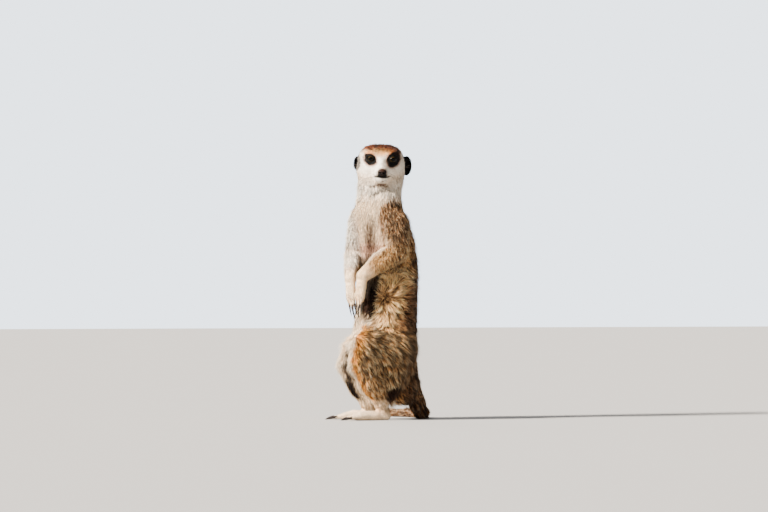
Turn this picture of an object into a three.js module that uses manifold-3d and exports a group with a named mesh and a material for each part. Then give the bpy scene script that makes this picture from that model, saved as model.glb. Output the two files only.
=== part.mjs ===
// A meerkat standing upright on its hind feet with its tail as a prop: a still model at life size.
// Millimetres, +Z up. The hips face -Y and the animal's left is +X. The chest is turned part of the
// way to the left and the head further still. The soles and the underside of the tail lie on Z = 0,
// and the origin is on the floor, under the middle of the whole animal.
import * as THREE from 'three';
import { SimplifyModifier } from 'three/addons/modifiers/SimplifyModifier.js';
import { triTable } from 'three/addons/objects/MarchingCubes.js';
import { mergeVertices } from 'three/addons/utils/BufferGeometryUtils.js';
import Module from 'manifold-3d';

const wasm = await Module();
wasm.setup();

// ---------------------------------------------------------------- driving sizes

const GAP = 0.3; // thin cut between two neighbouring pieces
const CHEST_TURN = 20; // degrees to the left of the hips
const HEAD_TURN = 67.3; // degrees to the left of the hips
const HEAD_PITCH = -2; // degrees, nose down
const HEAD_ROLL = 1.5; // degrees, left ear down
const HEAD_CENTRE = [2.1, -4.9, 283.5]; // middle of the braincase
const CHEST_CENTRE = [0, 2, 0]; // the chest's own axes stand on this point of the floor
const SIDES = [
  { name: 'left', s: 1 },
  { name: 'right', s: -1 },
];

// Sections of the body from the rump to the top of the neck: height, centre, half width,
// half depth and turn in degrees. They reach out to the tips of the coat.
const SECTIONS = [
  { z: 30, x: 0, y: 14, w: 19, d: 20, turn: 0 }, // under the tail
  { z: 48, x: 0, y: 8, w: 25, d: 27, turn: 0 }, // rump
  { z: 69, x: 0, y: 3, w: 31, d: 33.5, turn: 0 }, // hips
  { z: 90, x: 0, y: 1.2, w: 32.5, d: 36, turn: 0 }, // groin
  { z: 110, x: 0, y: 1.5, w: 31.5, d: 36, turn: 3 }, // belly
  { z: 130, x: 0, y: 4, w: 30.5, d: 35, turn: 6 }, // flank
  { z: 150, x: 0, y: 5.8, w: 30, d: 34, turn: 10 }, // waist
  { z: 170, x: 0, y: 6.4, w: 30, d: 33, turn: 14 }, // ribs
  { z: 190, x: 0, y: 5, w: 30, d: 31.5, turn: 18 }, // chest
  { z: 210, x: 0, y: 1, w: 30.5, d: 29.5, turn: 22 }, // shoulders
  { z: 227, x: -2, y: -4.5, w: 30, d: 26.5, turn: 32 }, // base of the neck
  { z: 243, x: -2, y: -5, w: 26, d: 23.5, turn: 48 }, // neck
  { z: 257, x: -1.5, y: -4.5, w: 25.2, d: 22, turn: 60 }, // throat
];
const RUMP_CAP = 14; // how far the rump rounds off below the lowest section
const THROAT_CAP = 14; // how far the neck runs up into the head

// ---------------------------------------------------------------- frames

const vec = (x, y, z) => new THREE.Vector3(x, y, z);
const rad = THREE.MathUtils.degToRad;

// A frame turned about +Z from the hips: its own axes are left, forward and up.
function turned(origin, turn, pitch = 0, roll = 0) {
  const spin = new THREE.Matrix4().makeRotationZ(rad(turn));
  spin.multiply(new THREE.Matrix4().makeRotationX(rad(-pitch)));
  spin.multiply(new THREE.Matrix4().makeRotationY(rad(roll)));
  return new THREE.Matrix4().makeTranslation(...origin).multiply(spin);
}

const chestFrame = turned(CHEST_CENTRE, CHEST_TURN);
const headFrame = turned(HEAD_CENTRE, HEAD_TURN, HEAD_PITCH, HEAD_ROLL);
const hipFrame = turned([0, 0, 0], 0);

// A point given as left, forward and up in a frame.
const place = (frame, left, forward, up) => vec(left, -forward, up).applyMatrix4(frame);

// ---------------------------------------------------------------- fields
// A field gives about how far a point is outside a shape, in millimetres, and is negative inside.

function blend(a, b, reach) {
  const near = Math.max(reach - Math.abs(a - b), 0) / reach;
  return Math.min(a, b) - (near * near * reach) / 4;
}

const blended = (fields, reach) => (p) =>
  fields.reduce((d, field) => blend(d, field(p), reach), Infinity);

// A chain of tapering round lengths through stations of a place and a radius. The section is
// `flat.by` times as thick along `flat.axis`.
function chain(stations, reach = 2, flat = null) {
  const from = vec(0, 0, 0);
  const along = vec(0, 0, 0);
  return (p) => {
    let d = Infinity;
    for (let i = 1; i < stations.length; i++) {
      const [a, b] = [stations[i - 1], stations[i]];
      along.subVectors(b.at, a.at);
      from.subVectors(p, a.at);
      const t = THREE.MathUtils.clamp(from.dot(along) / along.lengthSq(), 0, 1);
      from.addScaledVector(along, -t);
      if (flat) from.addScaledVector(flat.axis, from.dot(flat.axis) * (1 / flat.by - 1));
      d = blend(d, from.length() - THREE.MathUtils.lerp(a.r, b.r, t), reach);
    }
    return d;
  };
}

// An ellipsoid with its centre and half sizes given as left, forward and up in a frame.
function ellipsoid(frame, centre, radii) {
  const inverse = frame.clone().invert();
  const [left, forward, up] = centre;
  const middle = vec(left, -forward, up);
  const q = vec(0, 0, 0);
  return (p) => {
    q.copy(p).applyMatrix4(inverse).sub(middle);
    const [x, y, z] = [q.x / radii[0], q.y / radii[1], q.z / radii[2]];
    const near = Math.hypot(x, y, z);
    const slope = Math.hypot(x / radii[0], y / radii[1], z / radii[2]);
    return slope > 0 ? (near * (near - 1)) / slope : -Math.min(...radii);
  };
}

const sectionAt = new THREE.CubicInterpolant(
  SECTIONS.map((s) => s.z),
  SECTIONS.flatMap((s) => [s.x, s.y, s.w, s.d, rad(s.turn)]),
  5,
  new Float64Array(5),
);

function torso(p) {
  const [low, high] = [SECTIONS[0].z, SECTIONS[SECTIONS.length - 1].z];
  const z = THREE.MathUtils.clamp(p.z, low, high);
  const [x, y, w, d, turn] = sectionAt.evaluate(z);
  const beyond = (p.z - z) / (p.z < low ? RUMP_CAP : THROAT_CAP);
  const side = (p.x - x) * Math.cos(turn) + (p.y - y) * Math.sin(turn);
  const front = (p.x - x) * Math.sin(turn) - (p.y - y) * Math.cos(turn);
  return (Math.hypot(side / w, front / d, beyond) - 1) * Math.min(w, d);
}

// ---------------------------------------------------------------- the animal's lines

// Arms hang folded in front of the belly. Each station is left, forward, up and radius in the
// chest's frame. The right shoulder is rolled forward and the right hand hangs outside the left.
const ARMS = {
  left: {
    shoulder: [24, 5, 217, 13.5],
    elbow: [31.2, 13, 186.5, 12.8],
    middle: [20, 28, 175, 11],
    wrist: [7.4, 43.5, 159, 7.2],
    knuckles: [6.5, 46.2, 138, 6.8],
    tips: [5.6, 47.2, 127],
  },
  right: {
    shoulder: [-25, 15, 220, 14],
    elbow: [-30, 21, 186, 10.3],
    middle: [-20.5, 32.5, 171, 8.8],
    wrist: [-11, 44, 156, 6.9],
    knuckles: [-9, 45.3, 137, 6.8],
    tips: [-6.9, 45.3, 126],
  },
};

// Legs: each station is left, forward, up and radius in the hips' frame. The knee is drawn up to
// the belly and the sole is flat on the floor.
const LEGS = {
  left: {
    hip: [17, -2, 81, 26.5],
    front: [21, 31, 83, 18.5],
    knee: [23.5, 37, 63, 13.5],
    shin: [20.5, 26, 41, 13.5],
    ankle: [14, 9, 18, 7.4],
    calf: [18, -3, 55, 18],
    heel: [13.5, 5.8, 5, 6.6],
    ball: [16, 38, 4.9, 7],
    tips: [17.5, 51, 3],
  },
  right: {
    hip: [-17, -2, 81, 26.5],
    front: [-21, 23, 80, 15],
    knee: [-22.5, 28.5, 61, 14.5],
    shin: [-20, 22.5, 39, 12.3],
    ankle: [-15, 12.5, 17, 7.6],
    calf: [-18, -3, 55, 18],
    heel: [-14.5, 8.5, 5, 6.6],
    ball: [-17.5, 40, 4.9, 7],
    tips: [-19, 53, 3],
  },
};

// The tail drops from the rump, meets the floor and lies round to the animal's right.
const TAIL = [
  [0, -20, 56, 15],
  [0, -29, 39, 13],
  [-2, -40, 20, 10],
  [-8, -50, 7.6, 8],
  [-24, -59, 5.8, 6.8],
  [-46, -64, 5, 6],
  [-70, -62, 4.4, 5.4],
  [-93, -53, 4, 5],
  [-112, -39, 3.4, 3.6],
];

const station = (frame, [left, forward, up, r]) => ({ at: place(frame, left, forward, up), r });

// Digits: the width across their roots, their radius, how they spread or close towards their tips,
// how long the outer two are against the middle two, and how far every other one stands proud.
const FINGERS = { width: 12.6, r: 2.6, spread: 0.8, outer: 0.7, proud: 0.7 };
const TOES = { width: 13.5, r: 2.9, spread: 1.12, outer: 0.84, proud: 0 };
const DIGITS = 4;
const DIGIT_ROOT = 0.8; // how close together the digits start, against their width
const DIGIT_TAPER = 0.8;
const PALM_FLAT = 0.72; // thickness of the palm against its width
const SOLE_FLAT = 0.85;

// Four digits side by side past the last station of a hand or a foot.
function digits(frame, root, tips, { width, r, spread, outer, proud }) {
  return Array.from({ length: DIGITS }, (_, i) => {
    const across = (i / (DIGITS - 1) - 0.5) * (width - 1.6 * r);
    const share = Math.abs(i - (DIGITS - 1) / 2) > 1 ? outer : 1;
    const step = i % 2 ? proud : -proud;
    const from = vec(root[0] + across * DIGIT_ROOT, -root[1], root[2]);
    const to = vec(tips[0] + across * spread, -tips[1] + step, tips[2]);
    to.lerpVectors(from, to, share);
    return [
      { at: from.applyMatrix4(frame), r },
      { at: to.applyMatrix4(frame), r: r * DIGIT_TAPER },
    ];
  });
}

const up = vec(0, 0, 1);
const limbs = SIDES.map(({ name, s }) => {
  const [arm, leg] = [ARMS[name], LEGS[name]];
  const armAt = Object.fromEntries(
    ['shoulder', 'elbow', 'middle', 'wrist', 'knuckles'].map((k) => [k, station(chestFrame, arm[k])]),
  );
  const legAt = Object.fromEntries(
    ['hip', 'front', 'knee', 'shin', 'calf', 'ankle', 'heel', 'ball']
      .map((k) => [k, station(hipFrame, leg[k])]),
  );
  const forward = vec(0, -1, 0).transformDirection(chestFrame);
  const fingers = digits(chestFrame, arm.knuckles, arm.tips, FINGERS);
  const toes = digits(hipFrame, leg.ball, leg.tips, TOES);
  const palm = chain([armAt.wrist, armAt.knuckles], 3, { axis: forward, by: PALM_FLAT });
  const sole = chain([legAt.heel, legAt.ball], 3, { axis: up, by: SOLE_FLAT });
  return {
    name,
    s,
    armAt,
    legAt,
    fingers,
    toes,
    upperArm: chain([armAt.shoulder, armAt.elbow]),
    forearm: blended(
      [chain([armAt.elbow, armAt.middle, armAt.wrist]), palm, ...fingers.map((finger) => chain(finger))],
      1.6,
    ),
    thigh: chain([legAt.hip, legAt.front, legAt.knee], 6),
    shank: blended(
      [
        chain([legAt.knee, legAt.shin, legAt.ankle, legAt.heel], 5),
        chain([legAt.calf, legAt.ankle]),
      ],
      5,
    ),
    foot: blended(
      [
        chain([legAt.shin, legAt.ankle, legAt.heel], 5),
        sole,
        ...toes.map((toe) => chain(toe)),
      ],
      2.5,
    ),
  };
});

const tailStations = TAIL.map((s) => station(hipFrame, s));
const tail = chain(tailStations, 4);

// The head: left, forward and up from the middle of the braincase.
const FACE = {
  eye: { at: [12, 20.5, 5.6], r: 5 },
  nose: { at: [0, 42, -9.4], radii: [4.7, 3.9, 4.1] },
};
// The ears lie low on the sides of the head, the left one a little more open.
const EARS = {
  left: { at: [28.8, -5, -1.2], radii: [6.2, 5.6, 11.4] },
  right: { at: [-25.8, -5, 0], radii: [4.8, 5.4, 8.4] },
};
const EAR_HOLLOW = { out: 3.4, forward: 5.4, share: 0.74 }; // from the flap's middle; its size
const mirrored = ([l, f, u], s) => [l * s, f, u];
const inHead = (at, radii) => ellipsoid(headFrame, at, radii);
const headStation = (l, f, u, r) => ({ at: place(headFrame, l, f, u), r });

const skull = blended(
  [
    inHead([0, -2, 1], [24.5, 28, 21.3]),
    ...SIDES.map(({ s }) => inHead([12.3 * s, -2, 4.5], [11.8, 20, 14.6])),
    ...SIDES.map(({ s }) => inHead([13.5 * s, 4, -10], [13, 16, 15])),
    ...SIDES.map(({ s }) => inHead([11 * s, 16, 9.5], [8, 8, 5.5])),
    chain([headStation(0, 14, -4, 14), headStation(0, 38.5, -10.5, 5.8)], 4),
    chain([headStation(0, 8, -15, 11), headStation(0, 33, -16, 4.4)], 4),
  ],
  8,
);

const core = blended([torso, skull], 10);
const tailRoot = chain(tailStations.slice(0, 3), 4);
const body = (p) => {
  let d = blend(core(p), tailRoot(p), 12);
  for (const limb of limbs) {
    d = blend(d, limb.upperArm(p), 7);
    d = blend(d, blend(limb.thigh(p), limb.shank(p), 9), 9);
  }
  return d;
};

// ---------------------------------------------------------------- solids

const CORNERS = [
  [0, 0, 0], [1, 0, 0], [1, 1, 0], [0, 1, 0],
  [0, 0, 1], [1, 0, 1], [1, 1, 1], [0, 1, 1],
];
const EDGES = [
  [0, 1], [1, 2], [2, 3], [3, 0], [4, 5], [5, 6], [6, 7], [7, 4], [0, 4], [1, 5], [2, 6], [3, 7],
];
const LEAST_SHARE = 0.05; // keeps a vertex clear of the corners of its cell

const simplifier = new SimplifyModifier();

// The closed solid of a geometry whose shared corners are already merged.
function solidOf(geometry) {
  return new wasm.Manifold(
    new wasm.Mesh({
      numProp: 3,
      vertProperties: new Float32Array(geometry.attributes.position.array),
      triVerts: new Uint32Array(geometry.index.array),
    }),
  );
}

// The closed solid of one of three's own shapes: the seams are merged, and the collapsed
// triangles at the poles are left out.
function solidFrom(shape) {
  shape.deleteAttribute('normal');
  shape.deleteAttribute('uv');
  const merged = mergeVertices(shape, 1e-3);
  const { array } = merged.index;
  const kept = [];
  for (let t = 0; t < array.length; t += 3) {
    const [a, b, c] = array.slice(t, t + 3);
    if (a !== b && b !== c && c !== a) kept.push(a, b, c);
  }
  merged.setIndex(kept);
  return solidOf(merged);
}

// The surface where a field equals `grow`, by marching cubes over a box. The detailed surface
// keeps the given share of its vertices, which go where the shape needs them.
async function surface(field, box, { cell, keep }, grow = 0) {
  const counts = box.getSize(vec(0, 0, 0)).toArray().map((length) => Math.ceil(length / cell) + 1);
  const [nx, ny, nz] = counts;
  const index = (i, j, k) => (k * ny + j) * nx + i;
  const values = new Float64Array(nx * ny * nz);
  const p = vec(0, 0, 0);
  for (let k = 0; k < nz; k++) {
    for (let j = 0; j < ny; j++) {
      for (let i = 0; i < nx; i++) {
        p.set(i, j, k).multiplyScalar(cell).add(box.min);
        const rim = [i, j, k].some((n, axis) => n === 0 || n === counts[axis] - 1);
        const value = field(p) - grow;
        values[index(i, j, k)] = rim ? Math.max(value, cell / 2) : value;
      }
    }
  }
  const positions = [];
  const triangles = [];
  const known = new Map();
  const vertexOn = (a, b) => {
    const [from, to] = index(...a) < index(...b) ? [a, b] : [b, a];
    const key = index(...from) * values.length + index(...to);
    if (!known.has(key)) {
      const [va, vb] = [values[index(...from)], values[index(...to)]];
      const t = THREE.MathUtils.clamp(va / (va - vb), LEAST_SHARE, 1 - LEAST_SHARE);
      p.set(...from).lerp(vec(...to), t).multiplyScalar(cell).add(box.min);
      known.set(key, positions.length / 3);
      positions.push(p.x, p.y, p.z);
    }
    return known.get(key);
  };
  for (let k = 0; k < nz - 1; k++) {
    for (let j = 0; j < ny - 1; j++) {
      for (let i = 0; i < nx - 1; i++) {
        const corners = CORNERS.map(([x, y, z]) => [i + x, j + y, k + z]);
        const row = corners.reduce((bits, c, n) => bits | (values[index(...c)] < 0 ? 1 << n : 0), 0);
        for (let t = row * 16; triTable[t] !== -1; t += 3) {
          for (const e of [triTable[t], triTable[t + 2], triTable[t + 1]]) {
            triangles.push(vertexOn(...EDGES[e].map((n) => corners[n])));
          }
        }
      }
    }
  }
  const geometry = new THREE.BufferGeometry();
  geometry.setAttribute('position', new THREE.Float32BufferAttribute(positions, 3));
  geometry.setIndex(new THREE.BufferAttribute(new Uint32Array(triangles), 1));
  const spare = Math.round((positions.length / 3) * (1 - keep));
  return solidOf(await simplifier.modify(geometry, spare));
}

// The box round some stations.
function boxRound(stations, margin = 6) {
  const box = new THREE.Box3();
  for (const { at, r } of stations) {
    box.union(new THREE.Box3(at.clone().subScalar(r + margin), at.clone().addScalar(r + margin)));
  }
  return box;
}

// A box of one size round a point of the head.
const boxAt = (at, size) =>
  new THREE.Box3().setFromCenterAndSize(place(headFrame, ...at), vec(size, size, size));

const BAR_SIDES = 10;
const DOME_STEPS = 2;

// A round bar between two stations with a dome on each end.
function roundBar(a, b, grow) {
  const along = b.at.clone().sub(a.at);
  const dome = (r, start, base) =>
    Array.from({ length: DOME_STEPS + 1 }, (_, i) => {
      const angle = start + (i / DOME_STEPS) * (Math.PI / 2);
      return new THREE.Vector2(Math.max(r * Math.cos(angle), 0), base + r * Math.sin(angle));
    });
  const profile = [
    ...dome(a.r + grow, -Math.PI / 2, 0),
    ...dome(b.r + grow, 0, along.length()),
  ];
  const bar = new THREE.LatheGeometry(profile, BAR_SIDES);
  bar.applyQuaternion(new THREE.Quaternion().setFromUnitVectors(vec(0, 1, 0), along.normalize()));
  bar.translate(...a.at);
  return solidFrom(bar);
}

const HALF_SPACE = 500;

// Everything on the side of a plane that its normal points to, from `shift` past the plane.
function beyond({ at, normal }, shift = 0) {
  const block = new THREE.BoxGeometry(HALF_SPACE, HALF_SPACE, HALF_SPACE);
  block.translate(0, 0, HALF_SPACE / 2 + shift);
  block.applyQuaternion(new THREE.Quaternion().setFromUnitVectors(up, normal));
  block.translate(...at);
  return solidFrom(block);
}

// A cut is a plane. Its normal points from the part that is nearer to the trunk to the other.
const cut = (at, normal) => ({ at, normal: normal.clone().normalize() });
const nearSide = (solid, plane) => solid.subtract(beyond(plane, -GAP / 2));
const farSide = (solid, plane) => solid.intersect(beyond(plane, GAP / 2));
const cutBetween = (a, b, share = 0) =>
  cut(a.at.clone().lerp(b.at, share), b.at.clone().sub(a.at));
const cutAtBend = (a, b, c) =>
  cut(b.at, b.at.clone().sub(a.at).normalize().add(c.at.clone().sub(b.at).normalize()));
const floorCut = cut(vec(0, 0, 0), vec(0, 0, -1));
const standing = (solid) => solid.subtract(beyond(floorCut));

// ---------------------------------------------------------------- nodes

const group = new THREE.Group();
group.name = 'meerkat';

const finish = (color, roughness) => new THREE.MeshStandardMaterial({ color, roughness });
const COAT = {
  back: finish('#9a7a55', 0.9),
  pale: finish('#d9c8ad', 0.9),
  face: finish('#e6ddd0', 0.9),
  dark: finish('#2a211c', 0.85),
  eye: finish('#1a110c', 0.1),
  nose: finish('#3a2a26', 0.5),
  claw: finish('#2c241f', 0.35),
};

// Adds the largest body of a solid as a node. The cuts can leave crumbs beside it.
function add(name, solid, material) {
  const bodies = solid.decompose();
  const { vertProperties, triVerts } = bodies
    .reduce((a, b) => (a.volume() > b.volume() ? a : b))
    .getMesh();
  const geometry = new THREE.BufferGeometry();
  geometry.setAttribute('position', new THREE.BufferAttribute(vertProperties, 3));
  geometry.setIndex(new THREE.BufferAttribute(triVerts, 1));
  geometry.computeVertexNormals();
  const mesh = new THREE.Mesh(geometry, material);
  mesh.name = name;
  group.add(mesh);
}

// A claw is a cone bent towards the palm or sole, with its root inside the tip of its digit.
const CLAW_ROOT = 2.5; // how much of the cone is inside the digit
const CLAW_BEND = 0.16; // how far the tip bends, against the claw's length

function claw([root, tip], { length, radius }, bendTo, grow = 0) {
  const cone = new THREE.ConeGeometry(radius + grow, length + CLAW_ROOT + 3 * grow, 5, 2);
  cone.translate(0, (length - CLAW_ROOT) / 2, 0);
  const along = tip.at.clone().sub(root.at).normalize();
  const across = bendTo.clone().addScaledVector(along, -bendTo.dot(along)).normalize();
  const side = along.clone().cross(across);
  const bent = cone.attributes.position;
  for (let i = 0; i < bent.count; i++) {
    const [x, y, z] = [bent.getX(i), bent.getY(i), bent.getZ(i)];
    const at = tip.at.clone()
      .addScaledVector(along, y + tip.r * 0.7)
      .addScaledVector(across, x + CLAW_BEND * length * (y / length) ** 2)
      .addScaledVector(side, -z);
    bent.setXYZ(i, ...at);
  }
  return solidFrom(cone);
}

const MESH = {
  body: { cell: 5.5, keep: 0.185 },
  limb: { cell: 3.6, keep: 0.23 },
  paw: { cell: 2.1, keep: 0.165 },
  tail: { cell: 3.6, keep: 0.21 },
  head: { cell: 2.8, keep: 0.185 },
  small: { cell: 1.6, keep: 0.26 },
};
const ROOM = 1.2; // clearance round a forearm or an ear, which lie against the body
const TAIL_ROOM = 2.2; // and round the tail, with its blended bends
const SKIRT = 3.5; // how far a limb's piece reaches round its own line, into the blend
const FINGER_CLAW = { length: 13.5, radius: 1.25 };
const TOE_CLAW = { length: 8, radius: 1.5 };
const NOSE_GAP = 0.7;
const ARM_ROOT = 19; // from the middle of the chest to the inner face of an upper arm
const ARM_FACE_TILT = -0.1; // how the inner face of an upper arm leans to the middle in front
const LEG_ROOT = [13, 6, 81]; // a point of the inner face of a thigh
const LEG_FACE_TILT = -0.36;

const bodyBox = new THREE.Box3(vec(-52, -66, 2), vec(52, 62, 270));
const whole = await surface(body, bodyBox, MESH.body);
const neckCut = cut(vec(0, -3, 230), vec(0.05, -0.08, 1));
const headCut = cut(place(headFrame, 0, 0, -25), vec(0.1, -0.06, 1));
let axis = whole; // trunk and neck, once the limbs are taken out

// The room round lines of stations.
const barsRound = (lines, grow) =>
  lines
    .flatMap((line) => line.slice(1).map((to, i) => roundBar(line[i], to, grow)))
    .reduce((a, b) => a.add(b));

// A limb's piece is the part of the body round its own lines, on the far side of its faces. The
// trunk gives it that place.
function partRound(lines, faces) {
  const region = (extra) =>
    faces.reduce(
      (solid, face) => solid.intersect(beyond(face, GAP / 2 - extra)),
      barsRound(lines, SKIRT + extra),
    );
  axis = axis.subtract(region(GAP));
  return whole.intersect(region(0));
}

for (const { name, s, armAt, legAt, fingers, toes, forearm, foot: footField } of limbs) {
  const outward = (frame, tilt) => vec(s, tilt, 0).transformDirection(frame);
  const armFace = cut(place(chestFrame, ARM_ROOT * s, 8, 205), outward(chestFrame, ARM_FACE_TILT));
  const elbow = cutAtBend(armAt.shoulder, armAt.elbow, armAt.middle);
  const wrist = cutBetween(armAt.wrist, armAt.knuckles);
  const upperArm = partRound([[armAt.shoulder, armAt.elbow]], [armFace]);
  add(`${name}_upper_arm`, nearSide(upperArm, elbow), COAT.back);
  const armLine = [armAt.elbow, armAt.middle, armAt.wrist];
  const arm = await surface(forearm, boxRound(armLine), MESH.limb);
  axis = axis.subtract(barsRound([armLine], ROOM));
  add(`${name}_forearm`, nearSide(farSide(arm, elbow), wrist), COAT.pale);
  const handBox = boxRound([armAt.wrist, armAt.knuckles, ...fingers.flat()], 4);
  let hand = farSide(await surface(forearm, handBox, MESH.paw), wrist);

  const [legOut, legForward, legUp] = LEG_ROOT;
  const legFace = cut(vec(legOut * s, -legForward, legUp), outward(hipFrame, LEG_FACE_TILT));
  const midFace = cut(vec(0, 0, 0), vec(s, 0, 0));
  const knee = cut(legAt.knee.at.clone().add(vec(0, 0, -3)), vec(0, -0.25, -1));
  const ankle = cutBetween(legAt.ankle, legAt.heel);
  const thighLines = [
    [legAt.hip, legAt.front, legAt.knee, legAt.calf],
    [legAt.hip, legAt.calf],
  ];
  const thigh = partRound(thighLines, [legFace]);
  add(`${name}_thigh`, nearSide(thigh, knee), COAT.back);
  const shankLines = [
    [legAt.knee, legAt.shin, legAt.ankle, legAt.heel],
    [legAt.knee, legAt.calf, legAt.ankle],
  ];
  const shank = partRound(shankLines, [knee, midFace]);
  add(`${name}_shank`, nearSide(shank, ankle), COAT.back);
  const footBox = boxRound([legAt.ankle, legAt.heel, legAt.ball, ...toes.flat()], 4);
  let foot = standing(farSide(await surface(footField, footBox, MESH.paw), ankle));

  const inward = vec(0, 1, 0).transformDirection(chestFrame);
  const down = vec(0, 0, -1);
  for (let i = 0; i < DIGITS; i++) {
    hand = hand.subtract(claw(fingers[i], FINGER_CLAW, inward, GAP));
    foot = foot.subtract(claw(toes[i], TOE_CLAW, down, GAP));
    add(`${name}_finger_claw_${i + 1}`, claw(fingers[i], FINGER_CLAW, inward), COAT.claw);
    add(`${name}_toe_claw_${i + 1}`, standing(claw(toes[i], TOE_CLAW, down)), COAT.claw);
  }
  add(`${name}_hand`, hand, COAT.pale);
  add(`${name}_foot`, foot, COAT.pale);
}

// The tail is in three lengths, and its root is part of the trunk.
const tailBox = boxRound(tailStations);
const tailSolid = standing(await surface(tail, tailBox, MESH.tail));
const tailCuts = [
  cutBetween(tailStations[0], tailStations[1], 0.6),
  cutBetween(tailStations[3], tailStations[4], 0.6),
  cutBetween(tailStations[6], tailStations[7], 0.2),
];
axis = axis.subtract(farSide(barsRound([tailStations.slice(0, 4)], TAIL_ROOM), tailCuts[0]));
add('tail_base', nearSide(farSide(tailSolid, tailCuts[0]), tailCuts[1]), COAT.back);
add('tail_middle', nearSide(farSide(tailSolid, tailCuts[1]), tailCuts[2]), COAT.back);
add('tail_tip', farSide(tailSolid, tailCuts[2]), COAT.dark);
add('trunk', nearSide(axis, neckCut), COAT.back);
add('neck', nearSide(farSide(axis, neckCut), headCut), COAT.pale);

// The head has sockets for the eyes and the nose pad, and the ears stand on it.
const headBox = new THREE.Box3().setFromCenterAndSize(
  place(headFrame, 0, 8, -4), vec(96, 96, 64),
);
let head = farSide(await surface(core, headBox, MESH.head), headCut);
for (const { name, s } of SIDES) {
  const ball = (grow) => {
    const sphere = new THREE.SphereGeometry(FACE.eye.r + grow, 10, 7);
    sphere.translate(...place(headFrame, ...mirrored(FACE.eye.at, s)));
    return solidFrom(sphere);
  };
  head = head.subtract(ball(GAP));
  add(`${name}_eye`, ball(0), COAT.eye);
  const { at: [out, forward, rise], radii } = EARS[name];
  const earBox = boxAt([out, forward, rise], 30);
  const flap = inHead([out, forward, rise], radii);
  const hollow = inHead(
    [out + EAR_HOLLOW.out * s, forward + EAR_HOLLOW.forward, rise],
    radii.map((r) => r * EAR_HOLLOW.share),
  );
  const ear = await surface((p) => Math.max(flap(p), -hollow(p)), earBox, MESH.small);
  add(`${name}_ear`, ear.subtract(await surface(core, earBox, MESH.head, ROOM)), COAT.dark);
}
const noseBox = boxAt(FACE.nose.at, 15);
const nose = inHead(FACE.nose.at, FACE.nose.radii);
head = head.subtract(await surface(nose, noseBox, MESH.small, NOSE_GAP));
add('nose', await surface(nose, noseBox, MESH.small), COAT.nose);
add('head', head, COAT.face);

// The origin goes under the middle of the whole animal.
const middle = new THREE.Box3().setFromObject(group).getCenter(vec(0, 0, 0));
group.position.set(-middle.x, -middle.y, 0);

export default group;
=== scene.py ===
"""A meerkat standing upright, finished over its solids.

One skin stands for all the nodes of flesh and lies inside them by the depth of the coat. Tufts grow
from the skin. The eyes, the nose pad, the claws and the whiskers are pieces of their own.
Sizes are in millimetres until a mesh is made. The hips face -Y and the animal's left is +X.
"""
import contextlib
import math

import bmesh
import bpy
import numpy as np
from mathutils import Matrix, Vector
from mathutils.kdtree import KDTree


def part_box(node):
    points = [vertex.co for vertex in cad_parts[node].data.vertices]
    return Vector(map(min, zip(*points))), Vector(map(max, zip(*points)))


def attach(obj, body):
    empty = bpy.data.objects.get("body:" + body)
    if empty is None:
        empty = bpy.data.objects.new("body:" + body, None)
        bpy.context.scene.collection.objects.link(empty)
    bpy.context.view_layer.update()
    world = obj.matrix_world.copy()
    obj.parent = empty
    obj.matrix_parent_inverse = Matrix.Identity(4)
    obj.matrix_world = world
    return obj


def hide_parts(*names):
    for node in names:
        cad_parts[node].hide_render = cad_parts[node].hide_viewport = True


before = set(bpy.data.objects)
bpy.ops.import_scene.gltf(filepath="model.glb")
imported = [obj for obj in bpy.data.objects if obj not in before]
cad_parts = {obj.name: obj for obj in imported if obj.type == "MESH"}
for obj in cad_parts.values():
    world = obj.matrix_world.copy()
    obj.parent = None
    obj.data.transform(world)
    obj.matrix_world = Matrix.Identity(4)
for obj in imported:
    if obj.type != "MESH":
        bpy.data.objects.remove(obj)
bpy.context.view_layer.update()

MM = 0.001
SIDES = (("left", 1), ("right", -1))
rng = np.random.default_rng(11)


# ---- frames and lines

def axes_at(origin, turn, pitch=0.0, roll=0.0):
    """A frame turned from the hips about the vertical. Its own axes are left, back and up."""
    return np.array(
        Matrix.Translation(origin)
        @ Matrix.Rotation(math.radians(turn), 4, "Z")
        @ Matrix.Rotation(math.radians(-pitch), 4, "X")
        @ Matrix.Rotation(math.radians(roll), 4, "Y"))


def place(axes, points):
    """Points given as left, forward and up in a frame, in the frame of the row."""
    points = np.atleast_2d(np.asarray(points, float)) * (1, -1, 1)
    return points @ axes[:3, :3].T + axes[:3, 3]


def within(axes, points):
    """Points of the row's frame as left, forward and up in another frame."""
    return (points - axes[:3, 3]) @ axes[:3, :3] * (1, -1, 1)


def heading(axes, direction):
    """A direction given as left, forward and up in a frame, in the frame of the row."""
    return axes[:3, :3] @ (np.asarray(direction, float) * (1, -1, 1))


def line_of(axes, stations):
    """A line of round stations: a place and a radius each."""
    stations = np.asarray(stations, float)
    return np.hstack([place(axes, stations[:, :3]), stations[:, 3:]])


def pair_of(axes, left, right):
    """The lines of a left and a right limb."""
    return {"left": line_of(axes, left), "right": line_of(axes, right)}


EYE_AT = (12, 20.5, 5.6)
HEAD_TURN = (67.3, -2, 1.5)
HEAD_FROM_HIPS = np.array((2.1, -4.9, 283.5))
# The left eye of the solids tells where the hips' upright axis stands on the floor.
low, high = np.array(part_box("left_eye")) / MM
HIPS_AT = (low + high) / 2 - place(axes_at(HEAD_FROM_HIPS, *HEAD_TURN), EYE_AT)[0]
HIPS = axes_at((HIPS_AT[0], HIPS_AT[1], 0), 0)
CHEST = axes_at((HIPS_AT[0], HIPS_AT[1] + 2, 0), 20)
HEAD = axes_at((HIPS_AT[0] + HEAD_FROM_HIPS[0], HIPS_AT[1] + HEAD_FROM_HIPS[1],
                HEAD_FROM_HIPS[2]), *HEAD_TURN)

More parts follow.
